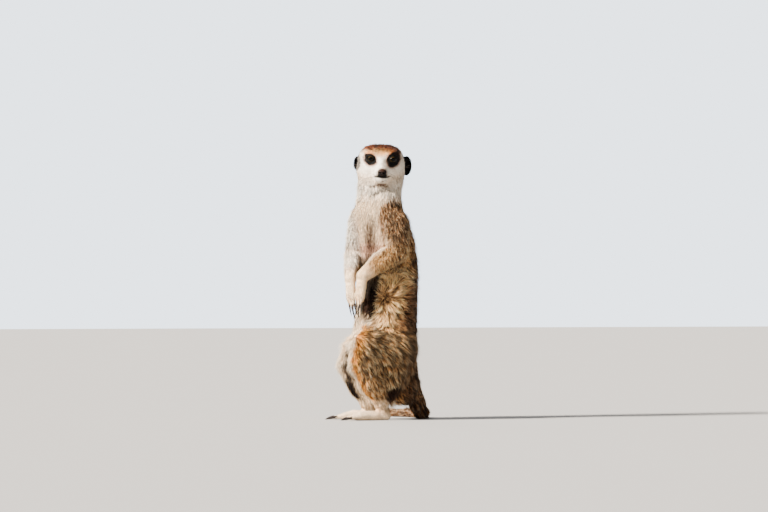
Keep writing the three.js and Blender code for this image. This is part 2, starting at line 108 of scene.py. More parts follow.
# Height, centre, half width, half depth and turn of the trunk and neck, to the tips of the coat.
SECTIONS = np.array([
    (30, 0, 14, 19, 20, 0),
    (48, 0, 8, 25, 27, 0),
    (69, 0, 3, 31, 33.5, 0),
    (90, 0, 1.2, 32.5, 36, 0),
    (110, 0, 1.5, 31.5, 36, 3),
    (130, 0, 4, 30.5, 35, 6),
    (150, 0, 5.8, 30, 34, 10),
    (170, 0, 6.4, 30, 33, 14),
    (190, 0, 5, 30, 31.5, 18),
    (210, 0, 1, 30.5, 29.5, 22),
    (227, -2, -4.5, 30, 26.5, 32),
    (243, -2, -5, 26, 23.5, 48),
    (257, -1.5, -4.5, 25.2, 22, 60),
])
UPPER_ARMS = pair_of(
    CHEST,
    [(24, 5, 217, 13.5), (31.2, 13, 186.5, 12.8)],
    [(-25, 15, 220, 14), (-30, 21, 186, 10.3)])
FOREARMS = pair_of(
    CHEST,
    [(31.2, 13, 186.5, 12.8), (20, 28, 175, 11), (7.4, 43.5, 159, 7.2)],
    [(-30, 21, 186, 10.3), (-20.5, 32.5, 171, 8.8), (-11, 44, 156, 6.9)])
HANDS = pair_of(
    CHEST,
    [(7.4, 43.5, 159, 7.2), (6.5, 46.2, 138, 6.8), (5.6, 47.2, 127, 4)],
    [(-11, 44, 156, 6.9), (-9, 45.3, 137, 6.8), (-6.9, 45.3, 126, 4)])
THIGHS = pair_of(
    HIPS,
    [(17, -2, 81, 26.5), (21, 31, 83, 18.5), (23.5, 37, 63, 13.5)],
    [(-17, -2, 81, 26.5), (-21, 23, 80, 15), (-22.5, 28.5, 61, 14.5)])
SHANKS = pair_of(
    HIPS,
    [(23.5, 37, 60, 13.5), (20.5, 26, 41, 13.5), (14, 9, 18, 7.4)],
    [(-22.5, 28.5, 58, 14.5), (-20, 22.5, 39, 12.3), (-15, 12.5, 17, 7.6)])
CALVES = pair_of(
    HIPS,
    [(17, -2, 81, 26.5), (18, -3, 55, 18), (14, 9, 18, 7.4)],
    [(-17, -2, 81, 26.5), (-18, -3, 55, 18), (-15, 12.5, 17, 7.6)])
FEET = pair_of(
    HIPS,
    [(14, 9, 14, 7.4), (13.5, 5.8, 5, 6.6), (16, 38, 4.9, 7), (17.5, 51, 3, 4)],
    [(-15, 12.5, 14, 7.6), (-14.5, 8.5, 5, 6.6), (-17.5, 40, 4.9, 7), (-19, 53, 3, 4)])
TAIL = line_of(HIPS, [
    (0, -20, 56, 15), (0, -29, 39, 13), (-2, -40, 20, 10), (-8, -50, 7.6, 8), (-24, -59, 5.8, 6.8),
    (-46, -64, 5, 6), (-70, -62, 4.4, 5.4), (-93, -53, 4, 5), (-112, -39, 3.4, 3.6),
])
SNOUT = line_of(HEAD, [(0, 14, -5, 13), (0, 38.5, -11, 7)])
SKULL_AT, SKULL_RADII = (0, -1, 0), (25, 29, 21.5)
EYE_R = 5.0
EYE_GAZE = (0.08, 0.98, -0.1)
NOSE_AT = (0, 42, -9.4)
NOSE_RADII = (4.7, 3.9, 4.1)
EARS = {"left": (28.8, -5, -1.2), "right": (-25.8, -5, 0)}
EAR_RADII = {"left": (6.2, 5.6, 11.4), "right": (4.8, 5.4, 8.4)}


def along(points, line):
    """How far points lie outside a line, their share of its length, and the line's direction."""
    nearest = np.full(len(points), np.inf)
    share = np.zeros(len(points))
    course = np.zeros((len(points), 3))
    for i in range(len(line) - 1):
        start, step = line[i, :3], line[i + 1, :3] - line[i, :3]
        t = np.clip((points - start) @ step / (step @ step), 0, 1)
        off = norm(points - start - t[:, None] * step)
        off -= line[i, 3] + t * (line[i + 1, 3] - line[i, 3])
        nearer = off < nearest
        nearest[nearer] = off[nearer]
        share[nearer] = (i + t[nearer]) / (len(line) - 1)
        course[nearer] = step / norm(step)
    return nearest, share, course


def facing(points, line, direction):
    """How far points lie to one side of a line's middle: 1 all the way, -1 on the other side."""
    _, share, course = along(points, line)
    at = share * (len(line) - 1)
    middle = np.stack([np.interp(at, np.arange(len(line)), line[:, k]) for k in range(3)], axis=1)
    return level(points - middle, course) @ unit(direction)


def about_trunk(points):
    """How far points lie outside the trunk and neck, and their angle from the front to the left."""
    z = np.clip(points[:, 2], SECTIONS[0, 0], SECTIONS[-1, 0])
    x, y, w, d, turn = (np.interp(z, SECTIONS[:, 0], SECTIONS[:, k]) for k in range(1, 6))
    turn = np.radians(turn)
    dx, dy = points[:, 0] - x - HIPS_AT[0], points[:, 1] - y - HIPS_AT[1]
    side = (dx * np.cos(turn) + dy * np.sin(turn)) / w
    front = (dx * np.sin(turn) - dy * np.cos(turn)) / d
    past = np.maximum(np.abs(points[:, 2] - z) - 8, 0) / 14
    out = (np.sqrt(side ** 2 + front ** 2 + past ** 2) - 1) * np.minimum(w, d)
    return out, np.degrees(np.arctan2(side, front))


def rise(x, low, high):
    """A soft step from 0 at low to 1 at high."""
    t = np.clip((x - low) / (high - low), 0, 1)
    return t * t * (3 - 2 * t)


def norm(v):
    """The length of each vector."""
    return np.linalg.norm(v, axis=-1)


def unit(v):
    return v / np.maximum(norm(v), 1e-9)[..., None]


def dots(a, b):
    return (a * b).sum(axis=-1)[..., None]


def level(v, normals):
    """Directions laid flat on the surface that the normals stand on."""
    return unit(v - dots(v, normals) * normals)


# ---- the coat, part by part

# Each part's colour of hair, depth of the coat over the skin, length and lift in degrees of its
# tufts, their width and number to a square millimetre, how strongly they gather into locks, and
# the share of dark locks.
COAT = {
    "back": ("grizzled", 3.1, 11.5, 28, 0.85, 1.55, 0.84, 0.7),
    "flank": ("golden", 3.3, 12.0, 27, 0.82, 1.7, 0.86, 0.26),
    "belly": ("cream", 2.0, 9.0, 18, 0.85, 1.15, 0.55, 0.25),
    "chest": ("blush", 1.6, 6.0, 18, 0.68, 1.7, 0.5, 0.12),
    "nape": ("grizzled", 2.2, 7.0, 31, 0.7, 2.1, 0.84, 0.74),
    "throat": ("cream", 1.4, 5.5, 19, 0.63, 1.8, 0.4, 0.04),
    "crown": ("rufous", 0.9, 3.8, 27, 0.45, 3.6, 0.6, 0.35),
    "cheek": ("white", 1.0, 4.0, 20, 0.45, 3.0, 0.3, 0.04),
    "face": ("white", 0.6, 2.0, 17, 0.34, 4.6, 0.15, 0.05),
    "muzzle": ("white", 0.4, 1.4, 15, 0.28, 5.0, 0.0, 0.05),
    "ear": ("white", 0.3, 1.5, 25, 0.32, 3.6, 0.0, 0.1),
    "upper_arm": ("grizzled", 2.0, 6.8, 31, 0.64, 2.7, 0.86, 0.74),
    "forearm": ("golden", 0.9, 5.0, 23, 0.55, 2.6, 0.72, 0.27),
    "hand": ("cream", 0.4, 2.3, 15, 0.44, 2.3, 0.3, 0.1),
    "thigh": ("brindle", 3.0, 12.0, 25, 0.75, 2.1, 0.9, 0.63),
    "shank": ("brindle", 1.4, 6.8, 22, 0.66, 2.0, 0.75, 0.55),
    "foot": ("cream", 0.4, 2.3, 14, 0.44, 1.6, 0.2, 0.1),
    "tail": ("grizzled", 1.4, 6.4, 23, 0.7, 1.85, 0.6, 0.6),
    "tail_tip": ("black", 1.3, 7.5, 20, 0.7, 1.85, 0.4, 0.2),
}
PARTS = list(COAT)
COAT_TABLE = np.array([numbers for _, *numbers in COAT.values()])
DEPTH, LENGTH, LIFT, WIDTH, DENSITY, GATHER, DARK_LOCKS = range(7)
# The line that the hair of each flank parts from: its two ends, each as a distance behind the
# hips' upright axis and a height above the floor.
PARTING = np.array([(-9, 130), (-7, 119)])
FAN_REACH = 52  # how far from the parting the hair fans out
FAINT_PARTING = 0.45  # of the right flank, against the left
# The frame, the lines and the width across the four digits of hands and feet.
DIGITS = {"hand": (CHEST, HANDS, 11.5), "foot": (HIPS, FEET, 13.5)}
BLEND = 2.6  # how softly one part's coat passes into the next
DOWN = np.array((0, 0, -1.0))


def trunk_coat(points):
    """The coat of the trunk and neck: how far points lie outside it, its parts and its lie."""
    out, angle = about_trunk(points)
    z = points[:, 2]
    neck = rise(z, 218, 236)
    rear = rise(np.abs(angle), 105, 140)
    side_from = 38 - 16 * rise(z, 196, 214) * (angle > 0)
    side = rise(np.abs(angle), side_from, side_from + 26) * (1 - rear)
    front = 1 - rear - side
    high = rise(z, 165, 195)
    ruff = rise(z, 198, 216)
    parts = {
        "nape": neck * rear + ruff * side * 0.85,
        "throat": neck * front + ruff * side * 0.15,
        "back": (1 - neck) * rear,
        "flank": (1 - ruff) * side,
        "chest": (1 - neck) * front * high,
        "belly": (1 - neck) * front * (1 - high),
    }
    # The hair of the flanks fans out from the parting, and the rest hangs.
    spot = points[:, 1:] - (HIPS_AT[1], 0) - PARTING[0]
    seam = PARTING[1] - PARTING[0]
    off_seam = spot - np.clip(spot @ seam / (seam @ seam), 0.0, 1.0)[:, None] * seam
    reach = norm(off_seam)
    stray = 0.8 * wander(points, 13, 14) + 0.45 * wander(points, 40, 15)
    stray = stray[:, None] * unit(off_seam)[:, ::-1] * (1, -1)
    fan = rise(reach, 0, 9) * rise(reach, FAN_REACH, 22) * rise(np.abs(angle), 28, 48)
    fan *= (1 - 0.6 * rear) * np.where(angle > 0, 1, FAINT_PARTING)
    sweep = np.tile(DOWN, (len(points), 1))
    sweep += fan[:, None] * (0.95 * np.insert(unit(off_seam) + stray, 0, 0, axis=1) - 0.6 * DOWN)
    sweep[:, 1] += 0.5 * side * (1 - fan) * (1 - neck) + 0.8 * rise(z, 75, 40)
    yield out, parts, sweep / np.maximum(norm(sweep), 0.6)[:, None]


def head_coat(points):
    """The coat of the head, which lies back from the nose and then down."""
    local = within(HEAD, points)
    left, forward, up = local.T
    skull = (norm((local - SKULL_AT) / SKULL_RADII) - 1) * 21
    snout, _, _ = along(points, SNOUT)
    muzzle = rise(forward, 24, 32)
    crown = rise(up, 10, 16) * (1 - muzzle)
    crease = rise(np.abs(up + 21), 5, 3.4) * rise(np.abs(left + 2), 15, 10) * rise(forward, 2, 10)
    muzzle = np.maximum(muzzle, crease)
    face = rise(forward, 8, 18) * (1 - muzzle) * (1 - crown)
    cheek = np.clip(1 - muzzle - crown - face, 0, 1)
    away = unit(local - np.array(NOSE_AT)) @ (HEAD[:3, :3] * (1, -1, 1)).T
    behind = rise(forward, 5, -20)[:, None]
    yield (np.minimum(skull, snout), {"muzzle": muzzle, "crown": crown, "face": face,
                                      "cheek": cheek}, unit(away + (0.25 + behind) * DOWN))


def limb_coats(points):
    """The coats of the ears, the arms, the legs and the tail."""
    local, z = within(HEAD, points), points[:, 2]
    for name, s in SIDES:
        at, radii = np.array(EARS[name]), np.array(EAR_RADII[name])
        yield ((norm((local - at) / radii) - 1) * 5 - 2.5, {"ear": 1.0},
               unit(place(HEAD, at + (4 * s, -3, 3)) - place(HEAD, at))[0])
        for part, lines in (("upper_arm", UPPER_ARMS), ("forearm", FOREARMS), ("hand", HANDS),
                            ("shank", SHANKS), ("foot", FEET)):
            out, far, course = along(points, lines[name])
            parts = {part: 1.0}
            if part == "forearm":
                course = unit(0.4 * course + DOWN + (0, 0.5, 0))
                wrist = rise(far, 0.55, 1.0)
                parts = {"forearm": 1 - wrist, "hand": wrist}
            elif part == "upper_arm":
                course = unit(course + (0, 0.3, 0))
            yield out, parts, course
        thigh, _, _ = along(points, THIGHS[name])
        calf, _, _ = along(points, CALVES[name])
        steep = rise(z, 90, 45)[:, None]
        low_leg = rise(z, 52, 34)
        yield (np.minimum(thigh, calf), {"thigh": 1 - low_leg, "shank": low_leg},
               unit(np.array((0.1 * s, 0.85, -0.8)) + steep * (0, -0.35, -0.5)))
    out, far, course = along(points, TAIL)
    tip = rise(far, 0.82, 0.9)
    yield out + 3 * rise(z, 40, 60), {"tail": 1 - tip, "tail_tip": tip}, course


def survey(points):
    """Each part's share of each point, the way that the coat lies there, and how firmly."""
    share = {part: np.zeros(len(points)) for part in PARTS}
    lie = np.zeros((len(points), 3))
    for coats in (trunk_coat, head_coat, limb_coats):
        for out, parts, course in coats(points):
            weight = np.exp(-np.clip(out, -12, 60) / BLEND)
            for part, part_share in parts.items():
                share[part] += weight * part_share
            lie += weight[:, None] * course
    shares = np.stack([share[part] for part in PARTS], axis=1)
    total = shares.sum(axis=1, keepdims=True)
    return shares / total, unit(lie), norm(lie / total)


# ---- markings and painted shade

def linear(code):
    """A colour code as linear red, green and blue."""
    value = np.array([int(code[i:i + 2], 16) for i in (0, 2, 4)]) / 255
    return np.where(value <= 0.04045, value / 12.92, ((value + 0.055) / 1.055) ** 2.4)


# The colours of a hair at its root, middle and tip.
HAIR = {name: np.stack([linear(code) for code in codes.split()]) for name, codes in {
    "grizzled": "200a04 b87c48 ffe6be",
    "brindle": "240c04 fcba74 ffecc0",
    "golden": "44220a eeaa62 ffe4ac",
    "straw": "5c3614 ffc884 fff2c8",
    "orange": "8c4e1a fca448 ffd07e",
    "cream": "c8a27a f4dab6 fff4de",
    "white": "cfb799 f8eee0 fffcf4",
    "blush": "8e6450 cf9f84 f2ccb8",
    "grey": "6b4e3c a8866c cfae92",
    "dusk": "1e0e06 482a1a 704a32",
    "dark": "040201 0e0603 1c0f08",
    "shade": "060200 0f0401 1e0903",
    "black": "020101 060403 0c0806",
    "rufous": "260c06 783a1e b46a3a",
    "umber": "0a0301 240f05 58301a",
}.items()}
PLAIN = np.stack([HAIR[colour] for colour, *_ in COAT.values()])


def oval(x, y, at, radii, tilt=0.0, soft=0.35):
    """1 inside a tilted oval and 0 outside it, with a soft edge."""
    c, s = math.cos(math.radians(tilt)), math.sin(math.radians(tilt))
    dx, dy = x - at[0], y - at[1]
    reach = np.hypot((dx * c + dy * s) / radii[0], (dy * c - dx * s) / radii[1])
    return 1 - rise(reach, 1 - soft, 1 + soft)


def wander(points, size, seed):
    """A slow random field from -1 to 1, from sums of waves about `size` across."""
    waves = np.random.default_rng(seed)
    total = np.zeros(len(points))
    for _ in range(10):
        direction = unit(waves.normal(size=3)) * waves.uniform(0.6, 1.6)
        total += np.sin(points @ direction * (2 * math.pi / size) + waves.uniform(0, 2 * math.pi))
    return total / 5


def lip_height(left):
    """The mouth's line on the muzzle, in the head's frame."""
    return -15.0 + 0.016 * left ** 2


BAR_SPACING = 11.5  # from one dark bar of the back to the next


def mark_body(points, of, paint):
    """The trunk and neck: pale in front, dusky on the belly with painted shade under the arms,
    barred and grizzled behind with painted shade on the back, and a painted shade in the parting.
    """
    z = points[:, 2]
    _, angle = about_trunk(points)
    uneven, fine = wander(points, 26, 3), wander(points, 6, 4)
    turn = np.abs(angle) + 5 * uneven
    trunk = of["back"] + of["flank"] + of["belly"] + of["chest"]
    ruff = of["nape"] + of["throat"]
    end = 75 + 12 * rise(z, 138, 155)  # where the pale flank gives way to the back
    paint(trunk * rise(turn, 44, 50) * rise(turn, end + 16, end) * rise(z, 92, 118) * 0.9, "straw")
    paint(trunk * rise(turn, end + 2, end + 22) * rise(z, 205, 180), "grizzled")
    bars = rise(np.sin(z / BAR_SPACING * 2 * math.pi + uneven * 1.2 + turn * 0.02), 0.0, 0.7)
    paint(bars * rise(turn, 90, 116) * trunk * rise(z, 55, 75) * rise(z, 215, 190) * 0.85, "dark")
    # Umber over the back: partly the back's own darker coat, partly painted shade.
    paint(rise(turn, end + 4, end + 28) * trunk * rise(z, 215, 195) * 0.75, "umber")
    # The edge between the pale throat and the grizzled neck, further back on the right.
    edge = np.interp(z, (196, 212, 236, 247, 258), (38, 28, 22, 42, 70)) + 36 * (angle < 0)
    edge += 4 * fine
    collar = ruff + trunk * rise(z, 190, 205)
    paint(collar * rise(turn, edge + 8, edge - 4), "cream")
    paint(collar * rise(turn, edge - 2, edge + 10), "grizzled")
    paint(ruff * rise(z, 238, 256) * rise(turn, 118, 84), "white")
    flecks = rise(fine, -0.35, 0.3)
    specks = rise(wander(points, 2.2, 13), -0.6, 0.8)
    # A dusky chest patch, darker between the arms, and a dark belly under the forearms: partly the
    # coat's own dusky tone, partly painted shade under and between the arms.
    paint(trunk * oval(angle, z, (6, 202), (17, 24), soft=0.6) * (0.62 + 0.38 * specks), "dusk")
    paint(trunk * rise(turn, 51, 45) * rise(z + 4 * uneven, 110, 124) * rise(z, 188, 176), "dark")
    paint(trunk * oval(angle, z, (4, 122), (34, 16), soft=0.6) * (0.3 + 0.4 * flecks), "dusk")
    paint(trunk * rise(turn, 60, 36) * rise(z, 118, 104), "cream")
    # Painted shade in the crease of the parting, a little above its own upper end, on the left
    # flank only.
    spot = points[:, 1:] - (HIPS_AT[1], 0) - PARTING[0] - (0, 5)
    crease = np.hypot(spot[:, 0] - 0.5 * spot[:, 1], 0.45 * spot[:, 1])
    paint(trunk * rise(crease, 2.6, 1) * 0.8 * (angle > 0), "umber")


# The pale edge of each arm: the way it faces, and how far toward it the pale hair starts and is
# full, from -1 on the other side to 1.
# The right arm's wider pale side stands partly for painted light.
UPPER_ARM_EDGES = {"left": ((-0.75, 0.75, 0.1), 0.80, 0.95), "right": ((-0.15, 1, 0.1), -0.5, -0.1)}
FOREARM_EDGES = {"left": ((-0.45, 0.45, 0.8), 0.74, 0.96), "right": ((0, 1, 0.2), -0.5, 0.0)}


def mark_arms(points, of, paint):
    """Grizzled arms with a pale inner edge, golden forearms that pale towards the hands, the right
    arm whiter with painted light, and painted shade between the fingers.
    """
    z = points[:, 2]
    side = within(CHEST, points)[:, 0]
    for name, s in SIDES:
        # The right arm is white where the left is cream, and over more of its front: partly its own
        # pale fur, partly painted light.
        mine, pale = side * s > 0, "cream" if name == "left" else "white"
        for part, lines, edges in (("upper_arm", UPPER_ARMS, UPPER_ARM_EDGES),
                                   ("forearm", FOREARMS, FOREARM_EDGES)):
            direction, start, full = edges[name]
            ahead = facing(points, lines[name], heading(CHEST, direction))
            paint(of[part] * mine * rise(ahead, start, full), pale)
        _, far, _ = along(points, FOREARMS[name])
        paint(of["forearm"] * mine * rise(far, 0.7, 1.0) * 0.75, pale)
    inner = rise(np.abs(side), 17, 10)
    paint((of["upper_arm"] + of["forearm"]) * inner * rise(z, 175, 190), "cream")
    paint(of["hand"] * (side > 0) * (0.3 + 0.3 * wander(points, 6, 8)), "straw")
    # Grey in the gaps between the fingers: painted shade.
    paint(of["hand"] * digit_gaps(points, "hand") * 0.7, "grey")


def mark_legs(points, of, paint):
    """Legs with a pale front and inside, an orange band behind it, painted shade behind them and
    under the right knee, and the tail, darkened partly with painted shade.
    """
    z = points[:, 2]
    left, forward, _ = within(HIPS, points).T
    leg = of["thigh"] + of["shank"]
    # How far round the leg, outwards from straight ahead, the pale hair and the orange end.
    ends = {"left": (11, 38), "right": (38, 62)}
    for name, s in SIDES:
        mine = left * s > 0
        line = np.vstack([THIGHS[name][1:], SHANKS[name][1:]])
        ahead = facing(points, line, heading(HIPS, (0, 1, 0)))
        outward = facing(points, line, heading(HIPS, (s, 0, 0)))
        turn = np.degrees(np.arctan2(outward, ahead)) + 5 * wander(points, 14, 9)
        pale, orange = ends[name]
        reach = leg * mine * rise(forward, 6, 16)
        paint(reach * rise(turn, orange + 14, orange - 6) * rise(turn, -60, -40), "orange")
        paint(reach * rise(turn, pale + 5, pale - 5), "cream")
        paint((leg + of["belly"]) * mine * rise(turn, -25, -50) * rise(forward, 4, 14), "cream")
        # On the right leg only: umber under the knee and a dark inner shank, partly the leg's own
        # dark fur, partly painted shade.
        if name == "right":
            paint(reach * rise(turn, -14, -30) * rise(z, 90, 76) * 0.8, "umber")
            inner = rise(outward, 0.35, -0.15)
            paint(of["shank"] * mine * inner * rise(z, 55, 44) * rise(z, 13, 19), "dark")
    rim = rise(np.abs(left), 15, 8)
    paint((leg + of["belly"] + of["flank"]) * rim * rise(forward, 6, 18) * rise(z, 112, 100),
          "cream")
    # Umber on the back of the legs and behind the hocks: partly their own dark fur, partly painted
    # shade.
    paint(leg * rise(forward, 6, -12) * 0.85, "umber")
    paint(leg * rise(z, 45, 37) * rise(forward, 16, 8), "umber")
    paint(of["shank"] * rise(z, 28, 20) * rise(forward, 2, 9), "cream")
    paint(of["foot"] * rise(z, 12, 20) * 0.5, "golden")
    # Grey in the gaps between the toes: painted shade.
    paint(of["foot"] * digit_gaps(points, "foot") * 0.7, "grey")
    # The tail darkened by half: partly its own darker coat, partly painted shade.
    paint(of["tail"] * 0.5, "umber")


def mark_head(points, of, paint):
    """A brown cap, an orange brow, dark patches round the eyes, a dark mouth line and ears, with
    painted shade in the throat's folds, beside the nose and round the left eye.
    """
    left, forward, up = within(HEAD, points).T
    head = sum(of[part] for part in ("crown", "cheek", "face", "muzzle"))
    fine, finer = wander(points, 7, 5), wander(points, 2.6, 12)
    ahead = rise(forward, 6, 12)
    paint(head * rise(up, -26, -12) * rise(forward, 0, -8), "grizzled")
    paint(head * rise(finer, 0.1, 0.7) * ahead * 0.16, "grey")
    brow = rise(up + 0.6 * fine, 9.0, 12.5) * rise(np.abs(left), 22, 17)
    paint(head * brow * ahead * 0.85, "orange")
    for s in (1, -1):
        paint(head * oval(left * s, up, (15.2, 14.6), (4.6, 1.2), -14, 0.5) * ahead * 0.9, "cream")
    cap = rise(up + 0.16 * forward + 0.9 * fine, 15.5, 18.5)
    paint(head * cap * rise(np.abs(left), 25, 19), "rufous")
    paint(head * rise(up + 1.2 * fine, 16, 19) * rise(finer, -0.5, 0.2) * 0.85, "shade")
    paint(head * oval(left, up, (-2, 11.5), (9, 4.0), soft=0.5) * ahead * 0.8, "golden")
    paint(head * oval(left, up, (-3, 14.5), (11, 1.6), -4, 0.5) * rise(finer, -0.4, 0.3) * 0.6,
          "umber")
    # The patch round each eye: its place, half sizes and tilt. The left patch is larger than the
    # right, and that extra size is painted shade.
    for s, at, patch, tilt in ((1, (12.6, 5.0), (9.0, 6.9), 56), (-1, (12.5, 4.6), (7.4, 6.0), 38)):
        reach = oval(left * s + 0.5 * finer, up + 0.5 * fine, at, (patch[0] + 1.6, patch[1] + 1.4),
                     tilt, 0.16)
        paint(head * reach * ahead * 0.75, "rufous")
        paint(head * oval(left * s + 0.5 * finer, up + 0.5 * fine, at, patch, tilt, 0.1) * ahead,
              "black")
        paint(head * oval(left * s, up + 0.4 * finer, (16, 8.6), (3.0, 1.7), 34, 0.3) * ahead,
              "black")
    # Umber above the left eye only: painted shade under the brow.
    paint(head * oval(left, up, (17.5, 13.0), (3.4, 2.6), 50, 0.5) * ahead * 0.8, "umber")
    lip = np.exp(-((up - lip_height(left)) / 1.3) ** 4) * rise(np.abs(left - 1), 11, 8)
    paint(head * oval(left, up, (0, -18.6), (6, 1.8), soft=0.6) * rise(finer, -0.4, 0.4) * ahead
          * 0.75, "dusk")
    paint(head * oval(left, up, (0, -9.5), (6.6, 5.8), soft=0.25) * rise(forward, 36, 39) * 0.7,
          "dusk")
    paint(head * oval(left, up, (0, -12.8), (5.8, 3.2), soft=0.3) * rise(forward, 34, 37), "black")
    paint(head * lip * rise(forward, 18, 26), "black")
    # Grey down the left side of the nose bridge only: painted shade.
    paint(head * oval(left, up, (3, -2), (3.6, 7.5), -14, soft=0.7) * rise(forward, 24, 34) * 0.4,
          "grey")
    # Painted shadow in the two folds under the chin, dusky and dark.
    first, second = throat_fold_shades(left, up - 2.0)
    ruff = (head + of["throat"]) * rise(forward, 2, 10)
    paint(ruff * first, "dusk")
    paint(ruff * rise(second, 0.1, 0.6) * 0.8, "dark")
    paint(head * rise(left, -18.8, -20.4) * oval(forward, up, (3, 0), (11, 8.5), soft=0.2), "umber")
    paint(rise(of["ear"] + 0.08 * finer, 0.35, 0.6), "black")


def markings_and_painted_shade(points, shares):
    """The colours of the hair at root, middle and tip, with painted shade among them, and a tone:
    the same for skin and coat.
    """
    colour = np.einsum("np,pkc->nkc", shares, PLAIN)
    of = {part: shares[:, i] for i, part in enumerate(PARTS)}

    def paint(mask, hair_name):
        colour[:] += (HAIR[hair_name] - colour) * np.clip(mask, 0, 1)[:, None, None]

    mark_body(points, of, paint)
    mark_arms(points, of, paint)
    mark_legs(points, of, paint)
    mark_head(points, of, paint)
    tone = 1 + 0.10 * wander(points, 22, 6) + 0.08 * wander(points, 8, 7)
    return np.clip(colour, 0, 1), np.clip(tone, 0.7, 1.3)


# ---- meshes as arrays

def object_of(name, data):
    thing = bpy.data.objects.new(name, data)
    bpy.context.scene.collection.objects.link(thing)
    return thing


def hand_over(piece, finish, slot, *nodes):
    """Makes an object a piece of the finished model, in place of nodes of the solids if any."""
    piece.data.shade_smooth()
    piece.data.materials.append(finish)
    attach(piece, "root")
    if nodes:
        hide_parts(*nodes)


@contextlib.contextmanager
def edited(mesh):
    """A mesh held open for Blender's own operators, and written back after them."""
    bm = bmesh.new()
    bm.from_mesh(mesh)
    yield bm
    bm.to_mesh(mesh)
    bm.free()


def read(items, key, width, kind=float):
    """One property of every item of a mesh, a row for each."""
    flat = np.empty(len(items) * width, kind)
    items.foreach_get(key, flat)
    return flat.reshape(-1, width)


def points_of(mesh):
    return read(mesh.vertices, "co", 3) / MM


def set_points(mesh, points):
    mesh.vertices.foreach_set("co", (points * MM).ravel())
    mesh.update()


def normals_of(mesh):
    return read(mesh.vertex_normals, "vector", 3)


def tree_of(points):
    """Points held for finding the nearest."""
    tree = KDTree(len(points))
    for i, point in enumerate(points):
        tree.insert(Vector(point), i)
    tree.balance()
    return tree


def averaged(values, edges):
    """The mean of each point's neighbours."""
    a, b = edges.T
    count = np.bincount(a, minlength=len(values)) + np.bincount(b, minlength=len(values))
    total = np.stack([
        np.bincount(a, values[b, k], len(values)) + np.bincount(b, values[a, k], len(values))
        for k in range(values.shape[1])], axis=1)
    return total / count[:, None]


STEP_IN, STEP_OUT = 0.5, 0.52


def relaxed(points, edges, rounds, share=1.0):
    """Points smoothed without shrinking, by a step in and a step out each round."""
    share = np.broadcast_to(share, len(points))[:, None]
    for _ in range(rounds):
        points = points + STEP_IN * share * (averaged(points, edges) - points)
        points = points - STEP_OUT * share * (averaged(points, edges) - points)
    return points


def write_colours(mesh, name, colours):
    layer = mesh.color_attributes.new(name, "FLOAT_COLOR", "POINT")
    rgba = np.ones((len(colours), 4), np.float32)
    rgba[:, :3] = colours
    layer.data.foreach_set("color", rgba.ravel())


def write_vectors(mesh, name, vectors):
    layer = mesh.attributes.new(name, "FLOAT_VECTOR", "POINT")
    layer.data.foreach_set("vector", np.asarray(vectors, np.float32).ravel())


# ---- the skin

FLESH = ["head", "neck", "trunk", "tail_base", "tail_middle", "tail_tip"] + [
    f"{side}_{part}" for side, _ in SIDES
    for part in ("ear", "upper_arm", "forearm", "hand", "thigh", "shank", "foot")]
FILLED = ["nose", "left_eye", "right_eye"]  # their places are filled before the face is shaped
VOXEL = 1.15
SWELL = 0.22  # closes the cuts between the nodes
COARSE_ROUNDS, FINE_ROUNDS, LAST_ROUNDS = 26, 7, 3  # of smoothing
GAP_DEPTH = 1.2  # of the grooves between the digits
ABOVE_FLOOR = 0.05  # how near to the floor anything comes


def joined_flesh():
    """One closed surface over all the nodes of flesh."""
    mesh = bpy.data.meshes.new("flesh")
    with edited(mesh) as bm:
        for name in FLESH + FILLED:
            bm.from_mesh(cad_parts[name].data)
        bmesh.ops.remove_doubles(bm, verts=bm.verts, dist=0.01 * MM)
        bm.normal_update()
        for vertex in bm.verts:
            vertex.co += vertex.normal * SWELL * MM
    flesh = object_of("flesh", mesh)
    remesh = flesh.modifiers.new("one_surface", "REMESH")
    remesh.mode = "VOXEL"
    remesh.voxel_size = VOXEL * MM
    graph = bpy.context.evaluated_depsgraph_get()
    surface = bpy.data.meshes.new_from_object(flesh.evaluated_get(graph))
    bpy.data.objects.remove(flesh)
    return surface


def refine(mesh, near):
    """Quarters the faces whose corners are all in the chosen places."""
    chosen = near(points_of(mesh))
    with edited(mesh) as bm:
        edges = [e for e in bm.edges if chosen[e.verts[0].index] and chosen[e.verts[1].index]]
        bmesh.ops.subdivide_edges(bm, edges=edges, cuts=1, use_grid_fill=True)


def near_face(points):
    left, forward, up = within(HEAD, points).T
    return (forward > 8) & (np.abs(left) < 24) & (up > -24) & (up < 18)


def near_eyes(points):
    local = within(HEAD, points)
    return np.any([norm(local - (EYE_AT[0] * s, *EYE_AT[1:])) < 9
                   for s in (1, -1)], axis=0) & (local[:, 1] > EYE_AT[1] - 2)


def near_ears(points):
    local = within(HEAD, points)
    return np.any([norm((local - EARS[name]) / EAR_RADII[name]) < 1.35
                   for name, _ in SIDES], axis=0)


def near_paws(points):
    chosen = np.zeros(len(points), bool)
    for name, _ in SIDES:
        for lines in (HANDS, FEET):
            chosen |= along(points, lines[name][-3:])[0] < 3
    return chosen & ~(points[:, 2] > 175)


def eye_axes(s):
    """An eye's centre and its own axes: across, up and along its gaze, in the row's frame."""
    centre = place(HEAD, (EYE_AT[0] * s, *EYE_AT[1:]))[0]
    gaze = unit(heading(HEAD, (EYE_GAZE[0] * s, *EYE_GAZE[1:])))
    across = unit(np.cross(heading(HEAD, (0, 0, 1)), gaze))
    return centre, across, np.cross(gaze, across), gaze


LID_OPEN = (4.6, 3.1)  # half sizes of the opening between the lids


